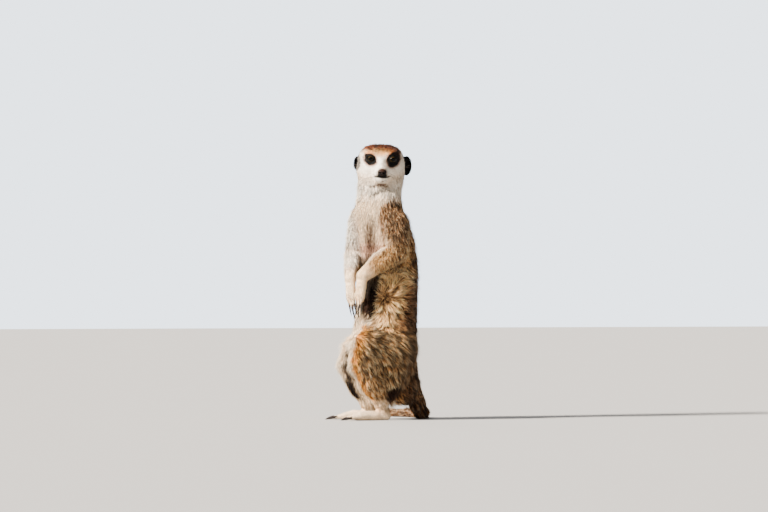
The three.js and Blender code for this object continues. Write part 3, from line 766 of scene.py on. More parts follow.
def shape_lids(points):
    """Opens the lids round each eyeball, with a rounded rim and a fold behind it."""
    for s in (1, -1):
        centre, across, up, gaze = eye_axes(s)
        offset = points - centre
        x, y, ahead = offset @ across, offset @ up, offset @ gaze
        corner = 1 - 0.34 * np.minimum((x / LID_OPEN[0]) ** 2, 1)
        reach = np.hypot(x / LID_OPEN[0], (y - 0.14 * x * s + 0.2) / (LID_OPEN[1] * corner))
        near = (ahead > -1.5) & (reach < 2.3)
        radius = norm(offset)
        rim = EYE_R + np.interp(reach, (0, 0.82, 0.98, 1.12, 1.3, 1.6, 2.3),
                                (-1.4, -1.2, 0.25, 0.75, 0.7, 0.35, 0.2))
        hold = (1 - rise(reach, 1.25, 2.2)) * near
        wanted = radius + (rim - radius) * hold
        points = np.where(near[:, None], centre + offset * (wanted / radius)[:, None], points)
    return points


def throat_fold_shades(left, up):
    """How near points are to the two folds of skin under the chin, where shade is painted."""
    first = np.exp(-((up + 24.6 - 0.03 * left) / 1.3) ** 2) * rise(np.abs(left + 2), 13, 8)
    second_at = np.interp(left, (-13, 0, 16), (-36, -29.4, -28.4))
    second = np.exp(-((up - second_at) / 1.4) ** 2) * rise(np.abs(left - 2), 17, 10)
    return first, second


# The brow, the stop, the whisker pad and the hollow of the cheek, on each side: height, place,
# half sizes, tilt, and how far forward it starts and is full.
FACE_FORMS = (
    (1.3, (12.5, 13.2), (9, 3.4), 8, 8, 16),
    (-0.9, (5.2, 3.5), (2.6, 4.5), 0, 18, 24),
    (1.1, (5.0, -12.0), (4.4, 3.4), 0, 24, 32),
    (-0.8, (14.0, -9.0), (4.0, 6.0), 20, 12, 20),
)


def shape_face(points, normals):
    """The forms of each side, the mouth, the groove under the nose and the chin."""
    left, forward, up = within(HEAD, points).T
    push = np.zeros(len(points))
    for s in (1, -1):
        for height, at, radii, tilt, start, full in FACE_FORMS:
            push += height * oval(left * s, up, at, radii, tilt, 0.8) * rise(forward, start, full)
    mouth = np.exp(-((up - lip_height(left)) / 0.8) ** 2) * rise(np.abs(left), 12, 9)
    mouth *= rise(forward, 17, 24)
    split = np.exp(-(left / 0.6) ** 2) * rise(forward, 33, 36) * rise(up, -16, -14.5)
    push -= 1.3 * mouth + 0.7 * split * rise(up, -10, -12)
    push += 1.0 * oval(left, up, (0, -18.6), (5.8, 2.4), 0, 0.8) * rise(forward, 22, 30)
    return points + push[:, None] * normals


def make_room_for_nose(points):
    """Draws the skin in behind the nose pad."""
    local = within(HEAD, points)
    x, y, z = (local - NOSE_AT).T
    reach = np.hypot(x / NOSE_RADII[0], z / NOSE_RADII[2])
    front = NOSE_RADII[1] * np.sqrt(np.clip(1 - reach ** 2, 0, 1)) * 0.92
    limit = np.where(reach < 1.04, front - 0.3 - 5 * np.clip(1 - reach, 0, 1), 99)
    local[:, 1] = np.where(np.abs(y) < 9, NOSE_AT[1] + np.minimum(y, limit), local[:, 1])
    return place(HEAD, local)


def hollow_ears(points):
    """A hollow in the front of each ear, inside its rim, deepest low down."""
    for name, s in SIDES:
        local = within(HEAD, points)
        x, y, z = (local - EARS[name]).T
        rx, ry, rz = EAR_RADII[name]
        inside = oval(x * s, z, (0.14 * rx, -0.1 * rz), (0.6 * rx, 0.64 * rz), 0, 0.3)
        near = (np.abs(x) < rx * 1.3) & (y > 0) & (np.abs(z) < rz * 1.3)
        local[:, 1] -= near * inside * (0.62 * ry - 0.1 * z)
        points = place(HEAD, local)
    return points


def digit_gaps(points, part):
    """How near points are to the three gaps between the four digits of a hand or a foot."""
    axes, lines, width = DIGITS[part]
    gaps = np.zeros(len(points))
    for name, _ in SIDES:
        root, tip = lines[name][-2:, :3]
        course = unit(tip - root)
        across = unit(axes[:3, 0] - (axes[:3, 0] @ course) * course)
        offset = points - root
        reach, side = offset @ course, offset @ across
        near = (norm(offset) < 26) & (np.abs(side) < width)
        gap = sum(np.exp(-((side - at * width / 8) / 0.6) ** 2) for at in (-2.0, 0.0, 2.0))
        gaps += gap * rise(reach, -3, 3) * near
    return gaps


def make_skin():
    """The body's bare shape: the solids made one, smoothed, given features and drawn in."""
    mesh = joined_flesh()
    for chosen in (near_face, near_eyes, near_ears, near_paws):
        refine(mesh, chosen)
    edges = read(mesh.edges, "vertices", 2, np.int64)
    points = points_of(mesh)
    shares, _, _ = survey(points)
    fine = sum(shares[:, PARTS.index(p)] for p in ("hand", "foot", "ear", "muzzle", "face"))
    coarse = rise(1 - fine, 0.3, 0.8)

    def soft_normals(points):
        set_points(mesh, points)
        return averaged(averaged(normals_of(mesh), edges), edges)

    points = relaxed(points, edges, COARSE_ROUNDS, coarse)
    points = relaxed(points, edges, FINE_ROUNDS)
    normals = soft_normals(points)
    points = shape_face(points, normals)
    gaps = digit_gaps(points, "hand") + digit_gaps(points, "foot")
    points = points - normals * GAP_DEPTH * gaps[:, None]
    inward = unit(soft_normals(points))
    depth = shares @ COAT_TABLE[:, [DEPTH]] + SWELL
    points = points - inward * averaged(averaged(depth, edges), edges)
    points = relaxed(points, edges, LAST_ROUNDS, coarse)
    points = hollow_ears(make_room_for_nose(shape_lids(points)))
    points[:, 2] = np.maximum(points[:, 2], ABOVE_FLOOR)
    set_points(mesh, points)
    return object_of("skin", mesh)


ISLAND_ANGLE, ISLAND_MARGIN = 66, 0.002


def unwrap(skin):
    """Lays the skin's own shape out flat, for the skin and for the roots of the coat."""
    bpy.context.view_layer.objects.active = skin
    skin.select_set(True)
    skin.data.uv_layers.new(name="OFBake")
    bpy.ops.object.mode_set(mode="EDIT")
    bpy.ops.mesh.select_all(action="SELECT")
    bpy.ops.uv.smart_project(angle_limit=math.radians(ISLAND_ANGLE), island_margin=ISLAND_MARGIN)
    bpy.ops.object.mode_set(mode="OBJECT")
    skin.select_set(False)


def paint_skin(skin, points):
    """The skin's colours, and the way that its short hair is combed."""
    shares, lie, _ = survey(points)
    colours, tone = markings_and_painted_shade(points, shares)
    root, middle = colours[:, 0], colours[:, 1]
    short = rise(shares @ COAT_TABLE[:, LENGTH], 5, 2)[:, None]
    under = root * 0.45 + middle * 0.55
    write_colours(skin.data, "markings_and_painted_shade", (under + (middle - under) * short) * tone[:, None])
    centred = points - HEAD[:3, 3]
    write_vectors(skin.data, "combed", (centred - 0.82 * dots(centred, lie) * lie) * MM)


# ---- the coat

PATCH = 0.003  # how much of the unwrap each tuft takes


def spike(cuts, sides=3):
    """A closed spike one unit long, with rings at the cuts, and its faces."""
    bm = bmesh.new()
    bmesh.ops.create_cone(bm, cap_ends=True, segments=sides, radius1=0.5, radius2=0, depth=1)
    bmesh.ops.translate(bm, verts=bm.verts, vec=(0, 0, 0.5))
    for cut in cuts:
        bmesh.ops.bisect_plane(bm, geom=bm.verts[:] + bm.edges[:] + bm.faces[:],
                               plane_co=(0, 0, cut), plane_no=(0, 0, 1))
    bmesh.ops.triangulate(bm, faces=bm.faces)
    bmesh.ops.recalc_face_normals(bm, faces=bm.faces)
    bm.verts.index_update()
    form = np.array([v.co for v in bm.verts])
    faces = np.array([[v.index for v in f.verts] for f in bm.faces])
    bm.free()
    full = np.maximum(1 - form[:, 2], 1e-3)[:, None]
    form[:, :2] = np.where(form[:, 2:] < 0.999, form[:, :2] / full, 0)
    return form, faces


LONG_TUFT = spike((0.3, 0.66))
SHORT_TUFT = spike((0.5,))
SPLIT, WHOLE = ("_left", "_right"), ("",)
# The coat's pieces: what each covers, on each side or whole, its tuft, and the tufts to a lock.
COAT_PIECES = (
    ("coat_back", ("back",), SPLIT, SHORT_TUFT, 24),
    ("coat_flank", ("flank",), SPLIT, LONG_TUFT, 32),
    ("coat_front", ("belly", "chest"), WHOLE, SHORT_TUFT, 16),
    ("coat_neck", ("nape", "throat"), WHOLE, SHORT_TUFT, 14),
    ("coat_head", ("crown", "cheek", "face", "muzzle", "ear"), WHOLE, SHORT_TUFT, 24),
    ("coat_upper_arms", ("upper_arm",), WHOLE, SHORT_TUFT, 10),
    ("coat_forearms_and_hands", ("forearm", "hand"), WHOLE, SHORT_TUFT, 8),
    ("coat_thigh", ("thigh",), SPLIT, SHORT_TUFT, 18),
    ("coat_shanks_and_feet", ("shank", "foot"), WHOLE, SHORT_TUFT, 16),
    ("coat_tail", ("tail", "tail_tip"), WHOLE, SHORT_TUFT, 20),
)
PIECE_FACES = 168_000
# How far nothing grows: from the eyes, in openings of the lids, and from the nose's middle, the
# line of the lips and the floor.
BARE_LIDS, BARE_NOSE, BARE_LIPS, BARE_SOLES = 1.3, 5.2, 1.1, 1.2


def joined(name, points, faces):
    """One mesh of many copies of a form, each with points of its own, and its face corners."""
    n, v = points.shape[:2]
    f = len(faces)
    mesh = bpy.data.meshes.new(name)
    mesh.vertices.add(n * v)
    mesh.vertices.foreach_set("co", (points * MM).ravel())
    corner = (faces[None] + (np.arange(n) * v)[:, None, None]).ravel()
    mesh.loops.add(n * f * 3)
    mesh.loops.foreach_set("vertex_index", corner)
    mesh.polygons.add(n * f)
    mesh.polygons.foreach_set("loop_start", np.arange(0, n * f * 3, 3))
    mesh.update(calc_edges=True)
    return mesh, corner


def skin_surface(mesh):
    """The skin's triangles, as arrays for sowing tufts."""
    mesh.calc_loop_triangles()
    return {
        "points": points_of(mesh), "normals": normals_of(mesh),
        "uv": read(mesh.uv_layers["OFBake"].data, "uv", 2),
        "corners": read(mesh.loop_triangles, "vertices", 3, np.int64),
        "loops": read(mesh.loop_triangles, "loops", 3, np.int64),
    }


def sow(surface, weight, count):
    """Roots spread over the triangles by weight: place, normal and place on the unwrap."""
    edge_sum = np.cumsum(weight)
    draws = (np.arange(count) + rng.random(count)) / count * edge_sum[-1]
    face = np.minimum(np.searchsorted(edge_sum, draws), len(weight) - 1)
    a, b = np.sqrt(rng.random(count)), rng.random(count)
    bary = np.stack([1 - a, a * (1 - b), a * b], axis=1)[:, :, None]
    corners = surface["corners"][face]
    return (
        (surface["points"][corners] * bary).sum(axis=1),
        unit((surface["normals"][corners] * bary).sum(axis=1)),
        (surface["uv"][surface["loops"][face]] * bary).sum(axis=1),
    )


LOCK_STRETCH = 0.3  # how little a step along the lie counts, against a step across it
STRANDS = 2  # in a lock
NEIGHBOURS = 7  # how many locks a tuft chooses from
GUARD_SHARE = 0.08  # of the tufts: longer, thinner and more raised than the rest
STEEPEST = 78  # degrees from the skin
ROOT_DEPTH = 0.35  # how far into the skin the longest tufts are rooted
STOPS = (0.22, 0.64, 0.96)  # where along a tuft its root, middle and tip colours are pure


def locks_for(roots, lie, across, count):
    """The lock that each tuft belongs to, and the step across to the lock's middle."""
    heads = roots[rng.choice(len(roots), count, replace=False)]
    tree = tree_of(heads)
    nearest = min(NEIGHBOURS, count)
    near = np.array([[found[1] for found in tree.find_n(Vector(root), nearest)] for root in roots])
    step = heads[near] - roots[:, None]
    ahead = (step * lie[:, None]).sum(axis=2)
    cost = (step ** 2).sum(axis=2) - (1 - LOCK_STRETCH ** 2) * ahead ** 2
    chosen = np.arange(len(roots)), cost.argmin(axis=1)
    return near[chosen], (step[chosen] * across).sum(axis=1)


def tuft_colours(s, colours, pale, gloom, tone):
    """Colours up every tuft from root to tip. Gloom darkens it, a pale one less: it gives the dark
    locks, and painted shade at the edges of the locks.
    """
    gloomy = HAIR["shade"] + (colours * 0.6 - HAIR["shade"]) * (0.15 + 0.65 * pale)[:, None, None]
    colours = colours + (gloomy - colours) * gloom[:, None, None]
    blend = np.stack([np.interp(s, STOPS, row) for row in np.eye(3)], axis=1)
    return np.clip(np.einsum("vk,nkc->nvc", blend, colours) * tone[:, None, None], 0, 0.95)


def grow(name, surface, weight, count, form_faces, per_lock, finish):
    """A piece of coat: tufts sown by weight, gathered in strands and locks along the lie."""
    form, faces = form_faces
    roots, normals, uv = sow(surface, weight, count)
    shares, lie, firm = survey(roots)
    coat = shares @ COAT_TABLE
    lie = level(lie, normals)
    across = np.cross(normals, lie)
    locks = max(count // per_lock, 1)
    strands = min(locks * STRANDS, count)
    lock, to_lock = locks_for(roots, lie, across, locks)
    strand, to_strand = locks_for(roots, lie, across, strands)
    of_lock = rng.normal(size=(locks, 5))[lock]
    of_strand = rng.normal(size=(strands, 2))[strand]
    own = rng.normal(size=(count, 5))
    is_guard, rank = rng.random(count) < GUARD_SHARE, rng.random(strands)[strand]
    gather = coat[:, GATHER]
    edge = rise(np.abs(to_lock) / np.percentile(np.abs(to_lock), 90), 0.4, 1.0) * gather

    def varied(column, by_lock, by_tuft, least, most):
        """A factor that varies from lock to lock and from tuft to tuft."""
        return np.clip(1 + by_lock * of_lock[:, column] + by_tuft * own[:, column], least, most)

    swing = 0.14 * of_lock[:, 0] * np.minimum(gather * 2, 1)
    swing += 0.06 * of_strand[:, 0] + 0.05 * own[:, 0]
    lie = unit(lie + across * swing[:, None])
    across = np.cross(normals, lie)
    length = coat[:, LENGTH] * varied(1, 0.14, 0.13, 0.5, 1.5)
    lift = coat[:, LIFT] * varied(2, 0.22, 0.15, 0.3, 1.9)
    guard = is_guard * rise(length, 4, 7)
    length, lift = length * (1 + 0.25 * guard), lift * (1 + 0.5 * guard)
    unsure = 2.4 - 1.4 * rise(firm, 0.1, 0.8)  # tufts stand up where the lie has no one way
    lift = np.radians(np.minimum(lift * (1.08 - 0.4 * edge) * unsure, STEEPEST))
    sag = np.sin(lift) * 0.42
    bow = 0.08 * of_lock[:, 3] + 0.05 * own[:, 3]
    width = coat[:, WIDTH] * np.clip(1 + 0.2 * own[:, 4], 0.5, 1.6) * (1 - 0.3 * guard)

    s = form[:, 2]
    ahead = s[None] * np.cos(lift)[:, None] * length[:, None]
    above = (np.sin(lift)[:, None] * s - sag[:, None] * s ** 2) * length[:, None]
    above -= np.minimum(ROOT_DEPTH, 0.05 * length)[:, None]
    drawn = gather * (0.5 * to_lock + 0.5 * to_strand)
    beside = bow[:, None] * s ** 2 * length[:, None] + drawn[:, None] * s ** 1.2
    girth = width[:, None] * (1 - s) ** 0.55 * np.where(s < 0.01, 0.75, 1)
    points = (
        roots[:, None]
        + ahead[..., None] * lie[:, None]
        + (above + girth * 0.42 * form[None, :, 1])[..., None] * normals[:, None]
        + (beside + girth * form[None, :, 0])[..., None] * across[:, None])
    points[:, :, 2] = np.maximum(points[:, :, 2], ABOVE_FLOOR)

    colours, shade = markings_and_painted_shade(roots, shares)
    pale = rise(colours[:, 0].mean(axis=1), 0.05, 0.2)
    dark = coat[:, DARK_LOCKS] * (1 - 0.75 * pale) - (rank + 0.06 * own[:, 2])
    # Gloom: the dark locks, and painted shade at the edges of every lock.
    gloom = 1 - (1 - 0.9 * rise(dark, -0.05, 0.05)) * (1 - 0.75 * edge)
    ragged = (0.12 + 0.1 * rise(length, 5, 2)) * own[:, 0] + 0.14 * of_lock[:, 4] * (1 - pale)
    paint = tuft_colours(s, colours, pale, gloom, shade * np.clip(1 + ragged, 0.45, 1.5))

    mesh, corner = joined(name, points, faces)
    patch = np.stack([form[:, 0], form[:, 2] - 0.5], axis=1) * PATCH
    layer = mesh.uv_layers.new(name="OFBake")
    spread = np.clip(uv[:, None] + patch[None], 0, 1).reshape(-1, 2)
    layer.data.foreach_set("uv", spread[corner].ravel())
    write_colours(mesh, "markings_and_painted_shade", paint.reshape(-1, 3))
    hand_over(object_of(name, mesh), finish, "body_coat")


def bare_places(points):
    """Where nothing grows: round the eyes and the nose, along the lips and under the soles."""
    local = within(HEAD, points)
    bare = np.zeros(len(points), bool)
    for s in (1, -1):
        centre, across, up, gaze = eye_axes(s)
        offset = points - centre
        reach = np.hypot(offset @ across / LID_OPEN[0], offset @ up / LID_OPEN[1])
        bare |= (reach < BARE_LIDS) & (offset @ gaze > 0)
    bare |= norm(local - NOSE_AT) < BARE_NOSE
    bare |= points[:, 2] < BARE_SOLES
    lip = np.abs(local[:, 2] - lip_height(local[:, 0])) < BARE_LIPS
    return bare | lip & (local[:, 1] > 20) & (np.abs(local[:, 0] - 1) < 9.5)


def grow_coat(skin):
    """Every piece of the coat, sown over the parts that it covers."""
    surface = skin_surface(skin.data)
    tri = surface["points"][surface["corners"]]
    area = norm(np.cross(tri[:, 1] - tri[:, 0], tri[:, 2] - tri[:, 0])) / 2
    middle = tri.mean(axis=1)
    shares, _, _ = survey(middle)
    chief = np.array(PARTS)[shares.argmax(axis=1)]
    weights = np.where(bare_places(middle), 0, area * (shares @ COAT_TABLE[:, DENSITY]))
    left = within(HIPS, middle)[:, 0] > 0
    finish = make_hair_finish()
    for name, parts, sides, form, per_lock in COAT_PIECES:
        for side in sides:
            mine = np.isin(chief, parts)
            if side:
                mine &= left == (side == "_left")
            weight = np.where(mine, weights, 0)
            count = min(int(weight.sum()), PIECE_FACES // len(form[1]))
            grow(name + side, surface, weight, count, form, per_lock, finish)


# ---- eyes, nose, claws, whiskers

CORNEA = 0.5  # how far the clear front of the eye stands out of the ball


def make_eye(name, s):
    """An eyeball with a bulging front, and its own axes as an attribute."""
    centre, across, up, gaze = eye_axes(s)
    mesh = bpy.data.meshes.new(f"{name}_eyeball")
    with edited(mesh) as bm:
        bmesh.ops.create_uvsphere(bm, u_segments=40, v_segments=30, radius=EYE_R)
        for vertex in bm.verts:
            vertex.co *= 1 + CORNEA / EYE_R * rise(vertex.co.z / EYE_R, 0.72, 0.98)
    ball = points_of(mesh) * MM
    set_points(mesh, centre + ball @ np.stack([across, up, gaze]))
    write_vectors(mesh, "from_pupil", ball / EYE_R)
    hand_over(object_of(mesh.name, mesh), make_eye_finish(name), "eye", f"{name}_eye")


NOSTRIL = (1.95, -0.5)  # left and up from the middle of the pad


def make_nose():
    """The nose pad: broad on top, with two comma nostrils and a groove between them."""
    mesh = bpy.data.meshes.new("nose_pad")
    with edited(mesh) as bm:
        bmesh.ops.create_icosphere(bm, subdivisions=5, radius=1)
    x, y, z = (points_of(mesh) * MM * NOSE_RADII).T
    front = rise(y, 0.2, 1.8)
    y = np.where(y > 0, y * 0.92, y)
    x = x * (1 + 0.06 * rise(z, -1, 2.5))
    for s in (1, -1):
        hole = oval(x * s, z, NOSTRIL, (1.25, 0.85), 18, 0.55)
        wing = oval(x * s, z, (3.4, -0.9), (1.5, 0.42), -14, 0.6)
        rim = oval(x * s, z, NOSTRIL, (2.0, 1.55), 18, 0.4) - hole
        y = y - front * (2.2 * hole + 0.7 * wing) + 0.18 * front * rim
    groove = np.exp(-(x / 0.4) ** 2) * rise(z, 1.6, -0.6)
    pad = np.stack([x, y - 0.5 * groove * front, z], axis=1)
    set_points(mesh, place(HEAD, pad + NOSE_AT))
    write_vectors(mesh, "on_pad", pad * MM)
    with edited(mesh) as bm:
        bmesh.ops.recalc_face_normals(bm, faces=bm.faces)
    hand_over(object_of("nose_pad", mesh), make_nose_finish(), "nose_pad", "nose")


def bent(form, starts, middles, ends, girths, flatness=1.0):
    """Copies of a spike bent through three points each, with a girth for each of their points."""
    s = form[:, 2][None, :, None]
    curve = (starts[:, None] * (1 - s) * (1 - 2 * s) + middles[:, None] * 4 * s * (1 - s)
             + ends[:, None] * s * (2 * s - 1))
    course = unit(ends - starts)
    bow = middles - (starts + ends) / 2
    bow = unit(bow - dots(bow, course) * course + 1e-6)
    side = np.cross(course, bow)
    return (curve + (girths * form[:, 0] * flatness)[..., None] * side[:, None]
            + (girths * form[:, 1])[..., None] * bow[:, None])


CLAW_FORM = spike((0.12, 0.26, 0.4, 0.54, 0.68, 0.8, 0.91), 12)
CLAW_GIRTH = 2.3  # against the radius of the claw of the solids


def claw_line(name):
    """The root, middle and tip of a claw of the solids, and the radius of its root."""
    points = points_of(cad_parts[name].data)
    middle = points.mean(axis=0)
    axis = np.linalg.svd(points - middle)[2][0]
    t = (points - middle) @ axis
    t = (t - t.min()) / np.ptp(t)
    spread = [norm(points[end] - points[end].mean(axis=0)).max()
              for end in (t < 0.08, t > 0.92)]
    t = t if spread[0] > spread[1] else 1 - t
    root, mid, tip = (points[(t > a) & (t < b)].mean(axis=0)
                      for a, b in ((-1, 0.08), (0.35, 0.65), (0.92, 2)))
    return root, mid, tip, max(spread)


def make_claws(side_name, kind):
    """The four claws of one hand or foot, curved and ridged."""
    form, faces = CLAW_FORM
    name = f"{side_name}_{kind}"
    nodes = [f"{name}_{i}" for i in (1, 2, 3, 4)]
    starts, middles, ends, radii = (np.array(column) for column in zip(*map(claw_line, nodes)))
    s = form[:, 2]
    girths = CLAW_GIRTH * radii[:, None] * (1 - s) ** 0.62 * np.where(s < 0.01, 0.9, 1)
    points = bent(form, starts, middles, ends, girths, 0.8)
    points[:, :, 2] = np.maximum(points[:, :, 2], ABOVE_FLOOR)
    mesh, _ = joined(f"{name}s", points, faces)
    write_vectors(mesh, "up_the_claw", np.tile(form, (4, 1)))
    hand_over(object_of(f"{name}s", mesh), make_claw_finish(name), "claw", *nodes)


WHISKER_FORM = spike((0.2, 0.45, 0.7), 5)
WHISKER_GIRTH = 0.2
# Where each group of whiskers grows, how it is spread, where it points, its length and its count.
WHISKERS = (
    ((6.5, 33, -12.5), (1.6, 3.2, 2.0), (1.0, -0.2, -0.35), 33, 9),
    ((20, 10, -3), (1.5, 2.0, 2.5), (1.0, -0.1, 0.15), 24, 2),
)


def make_whiskers(skin_points):
    """Whiskers beside the nose and on the cheeks."""
    skin_tree = tree_of(skin_points)
    starts, courses, lengths = [], [], []
    for at, spread, course, length, count in WHISKERS:
        for s in [1] * count + [-1] * count:
            spot = (np.array(at) + rng.uniform(-1, 1, 3) * spread) * (s, 1, 1)
            starts.append(skin_points[skin_tree.find(Vector(place(HEAD, spot)[0]))[1]])
            way = np.array(course) + rng.normal(size=3) * (0.1, 0.22, 0.2)
            courses.append(heading(HEAD, unit(way) * (s, 1, 1)))
            lengths.append(length * rng.uniform(0.6, 1.15))
    starts, courses = np.array(starts), np.array(courses)
    lengths = np.array(lengths)[:, None]
    back = heading(HEAD, (0, -0.35, -0.3))
    middles = starts + courses * lengths * 0.5
    ends = starts + (courses + back * 0.3) * lengths
    form, faces = WHISKER_FORM
    girths = np.tile(WHISKER_GIRTH * (1 - form[:, 2]) ** 0.6, (len(starts), 1))
    points = bent(form, starts - courses * 0.6, middles, ends, girths)
    mesh, _ = joined("whiskers", points, faces)
    write_vectors(mesh, "up_the_hair", np.tile(form, (len(starts), 1)))
    hand_over(object_of("whiskers", mesh), make_whisker_finish(), "face_coat")


# ---- materials

class Finish:
    """A material, and short ways to wire its nodes. Each way gives a node's output."""

    def __init__(self, name, settings):
        self.material = bpy.data.materials.new(name)
        self.material.use_nodes = True
        self.tree = self.material.node_tree
        self.feed(settings)

    def give(self, sockets, values):
        for key, value in values.items():
            if isinstance(value, bpy.types.NodeSocket):
                self.tree.links.new(value, sockets[key])
            else:
                sockets[key].default_value = value

    def feed(self, values):
        """Gives the shader's own sockets their values and links."""
        self.give(self.tree.nodes["Principled BSDF"].inputs, values)
        return self.material

    def node(self, kind, output, inputs, **settings):
        made = self.tree.nodes.new("ShaderNode" + kind)
        for key, value in settings.items():
            setattr(made, key, value)
        self.give(made.inputs, inputs)
        return made.outputs[output]

    def place(self):
        return self.node("TexCoord", "Object", {})

    def attribute(self, name, output="Vector"):
        return self.node("Attribute", output, {}, attribute_name=name)

    def height_in(self, vector):
        return self.node("SeparateXYZ", "Z", {"Vector": vector})

    def noise(self, vector, scale, detail=3.0):
        return self.node("TexNoise", "Fac", {
            "Vector": vector, "Scale": scale, "Detail": detail, "Roughness": 0.6})

    def ramp(self, value, low, high, to_low, to_high):
        return self.node("MapRange", "Result", {
            "Value": value, "From Min": low, "From Max": high, "To Min": to_low,
            "To Max": to_high})

    def spread(self, noise, to_low, to_high):
        """A noise spread over a range."""
        return self.ramp(noise, 0.3, 0.7, to_low, to_high)

    def maths(self, operation, first, second):
        return self.node("Math", "Value", {0: first, 1: second}, operation=operation)

    def times(self, vector, factor):
        return self.node("VectorMath", "Vector", {0: vector, 1: factor}, operation="MULTIPLY")

    def length(self, vector):
        return self.node("VectorMath", "Value", {0: vector}, operation="LENGTH")

    def band(self, factor, stops):
        """Colours by a factor, from places and colour codes."""
        colour = self.node("ValToRGB", "Color", {"Fac": factor})
        points = colour.node.color_ramp.elements
        while len(points) < len(stops):
            points.new(0.5)
        for point, (at, code) in zip(points, stops):
            point.position = at
            point.color = (*linear(code), 1)
        return colour

    def bump(self, height, strength, distance, **settings):
        return self.node("Bump", "Normal", {
            "Height": height, "Strength": strength, "Distance": distance * MM}, **settings)


def make_hair_finish():
    hair = Finish("coat_hair", {
        "Specular IOR Level": 0.08, "Sheen Weight": 0.01, "Sheen Roughness": 0.5})
    streak = hair.noise(hair.place(), 900.0, 2.0)
    marks = hair.attribute("markings_and_painted_shade", "Color")
    return hair.feed({"Base Color": hair.times(marks, hair.spread(streak, 0.86, 1.12)),
                      "Roughness": hair.spread(streak, 0.5, 0.72)})


def make_skin_finish():
    skin = Finish("short_coat_and_skin", {"Specular IOR Level": 0.1})
    marks, combed = skin.attribute("markings_and_painted_shade", "Color"), skin.attribute("combed")
    strand, mottle = skin.noise(combed, 1500.0), skin.noise(combed, 260.0, 2.0)
    tone = skin.maths("MULTIPLY", skin.spread(strand, 0.78, 1.16), skin.spread(mottle, 0.93, 1.06))
    return skin.feed({"Base Color": skin.times(marks, tone),
                      "Roughness": skin.spread(strand, 0.6, 0.8),
                      "Normal": skin.bump(strand, 0.5, 0.4)})


def make_eye_finish(name):
    """A dark brown iris with a wide flat pupil and a dark rim."""
    eye = Finish(f"{name}_eye_glass", {
        "Roughness": 0.25, "Specular IOR Level": 0.03, "Coat Weight": 0.14, "Coat Roughness": 0.04})
    local = eye.attribute("from_pupil")
    wide, flat = eye.times(local, (1, 1, 0)), eye.times(local, (0.72, 1, 0))
    spokes = eye.spread(eye.noise(eye.times(flat, (6, 6, 6)), 5, 4), -0.05, 0.05)
    iris = eye.band(eye.maths("ADD", eye.length(wide), spokes), (
        (0.0, "0c0603"), (0.44, "1c1007"), (0.55, "32260f"), (0.61, "1a1208"), (0.68, "030201"),
        (1.0, "050302")))
    open_pupil = eye.ramp(eye.length(flat), 0.38, 0.46, 0.0, 1.0)
    return eye.feed({"Base Color": eye.times(iris, open_pupil)})


def make_nose_finish():
    """Pebbled leather, dark below and brown on top."""
    nose = Finish("nose_leather", {
        "Specular IOR Level": 0.12, "Coat Weight": 0.04, "Coat Roughness": 0.3})
    local = nose.attribute("on_pad")
    pebbles = nose.node("TexVoronoi", "Distance", {"Vector": local, "Scale": 2300.0})
    top = nose.ramp(nose.height_in(local), -3 * MM, 3.5 * MM, 0.1, 0.62)
    brown = nose.maths("ADD", top, nose.spread(nose.noise(local, 420.0), -0.12, 0.16))
    return nose.feed({
        "Base Color": nose.band(brown, (
            (0.0, "050303"), (0.35, "110907"), (0.7, "2f1b13"), (1.0, "4e3124"))),
        "Roughness": nose.ramp(pebbles, 0.0, 0.6, 0.34, 0.6),
        "Normal": nose.bump(pebbles, 0.5, 0.12, invert=True)})


def make_claw_finish(name):
    """Dark horn, paler at the root, with fine ridges along it."""
    horn = Finish(f"{name}_horn", {
        "Specular IOR Level": 0.5, "Coat Weight": 0.15, "Coat Roughness": 0.25})
    local = horn.attribute("up_the_claw")
    grain = horn.noise(horn.times(local, (9, 9, 0.8)), 1.6, 4)
    along_it = horn.maths("ADD", horn.height_in(local), horn.spread(grain, -0.12, 0.12))
    return horn.feed({
        "Base Color": horn.band(along_it, (
            (0.0, "3a2a20"), (0.25, "231710"), (0.6, "120b08"), (1.0, "2b1e16"))),
        "Roughness": horn.spread(grain, 0.28, 0.46), "Normal": horn.bump(grain, 0.35, 0.1)})


def make_whisker_finish():
    hair = Finish("whisker_hair", {"Specular IOR Level": 0.4})
    up = hair.height_in(hair.attribute("up_the_hair"))
    return hair.feed({
        "Base Color": hair.band(up, ((0.0, "7a6656"), (0.35, "5a4a3e"), (1.0, "382c24"))),
        "Roughness": hair.ramp(up, 0, 1, 0.35, 0.5)})


# ---- stage, light and camera

VIEW_TURN = 65.0  # degrees from the hips' front to the left
VIEW_AT = Vector((HIPS_AT[0], HIPS_AT[1], 181.5)) * MM
CAMERA_AWAY = 4.0
CAMERA_HEIGHT = 0.1326
LENS = 169.0
FLOOR_COLOUR = (0.42, 0.41, 0.40, 1)
# The room's colour and strength as light, and as what is seen behind the floor.
ROOM = {"around": ((0.95, 0.97, 1.0, 1), 0.36), "beyond": ((0.80, 0.88, 0.97, 1), 3.4)}
# The lamps: how far to the left, toward the camera and above, how soft, how strong, what colour.
LAMPS = {
    "key": (2.2, 1.2, 1.3, 10, 24.0, (1.0, 0.92, 0.82)),
    "back": (0.6, -1.6, 1.3, 30, 0.8, (1.0, 0.97, 0.92)),
}


def aim(thing, place):
    """Puts a lamp or the camera at a place, turned toward the middle of the view."""
    thing.location = place
    thing.rotation_euler = (VIEW_AT - place).to_track_quat("-Z", "Y").to_euler()


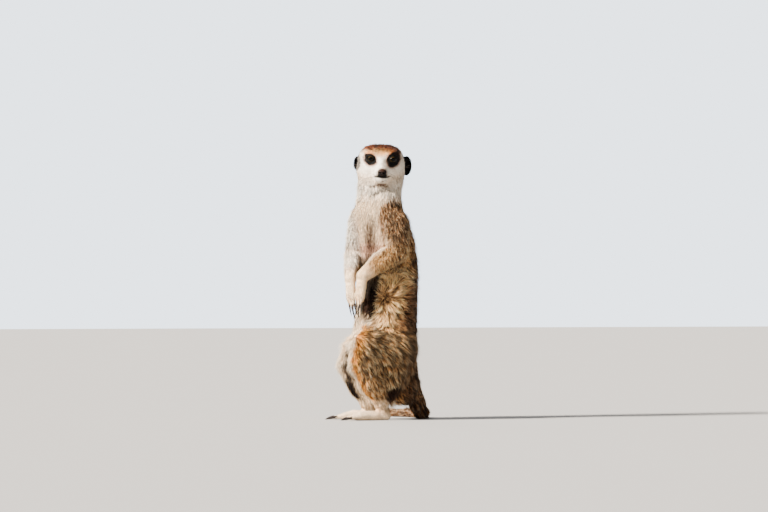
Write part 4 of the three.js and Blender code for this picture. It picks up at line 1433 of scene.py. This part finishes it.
def make_stage():
    toward = Vector((math.sin(math.radians(VIEW_TURN)), -math.cos(math.radians(VIEW_TURN)), 0))
    right = Vector((-toward.y, toward.x, 0))
    camera_data = bpy.data.cameras.new("camera")
    camera_data.lens, camera_data.clip_start, camera_data.clip_end = LENS, 0.05, 60
    camera = object_of("camera", camera_data)
    eye = VIEW_AT + toward * CAMERA_AWAY
    eye.z = CAMERA_HEIGHT
    aim(camera, eye)
    bpy.context.scene.camera = camera

    mesh = bpy.data.meshes.new("floor")
    with edited(mesh) as bm:
        bmesh.ops.create_grid(bm, x_segments=1, y_segments=1, size=12)
    floor = object_of("floor", mesh)
    pale = Finish("pale_floor", {"Specular IOR Level": 0.2, "Base Color": FLOOR_COLOUR})
    speck = pale.noise(pale.place(), 3.0)
    mesh.materials.append(pale.feed({"Roughness": pale.spread(speck, 0.8, 0.9)}))

    world = bpy.data.worlds.new("room")
    world.use_nodes = True
    nodes, links = world.node_tree.nodes, world.node_tree.links
    nodes.remove(nodes["Background"])
    seen = nodes.new("ShaderNodeMixShader")
    links.new(nodes.new("ShaderNodeLightPath").outputs["Is Camera Ray"], seen.inputs["Fac"])
    for slot, name in enumerate(("around", "beyond"), 1):
        glow = nodes.new("ShaderNodeBackground")
        glow.inputs["Color"].default_value, glow.inputs["Strength"].default_value = ROOM[name]
        links.new(glow.outputs["Background"], seen.inputs[slot])
    links.new(seen.outputs["Shader"], nodes["World Output"].inputs["Surface"])
    bpy.context.scene.world = world
    for name, (left, near, high, softness, strength, tint) in LAMPS.items():
        light = bpy.data.lights.new(name, "SUN")
        light.angle, light.energy, light.color = math.radians(softness), strength, tint
        lamp = object_of(name, light)
        aim(lamp, VIEW_AT - right * left + toward * near + Vector((0, 0, high)))


# ---- making it all

make_stage()
skin = make_skin()
unwrap(skin)
skin_points = points_of(skin.data)
paint_skin(skin, skin_points)
hand_over(skin, make_skin_finish(), "body_coat", *FLESH)
grow_coat(skin)
make_whiskers(skin_points)
make_nose()
for side_name, s in SIDES:
    make_eye(side_name, s)
    for kind in ("finger_claw", "toe_claw"):
        make_claws(side_name, kind)
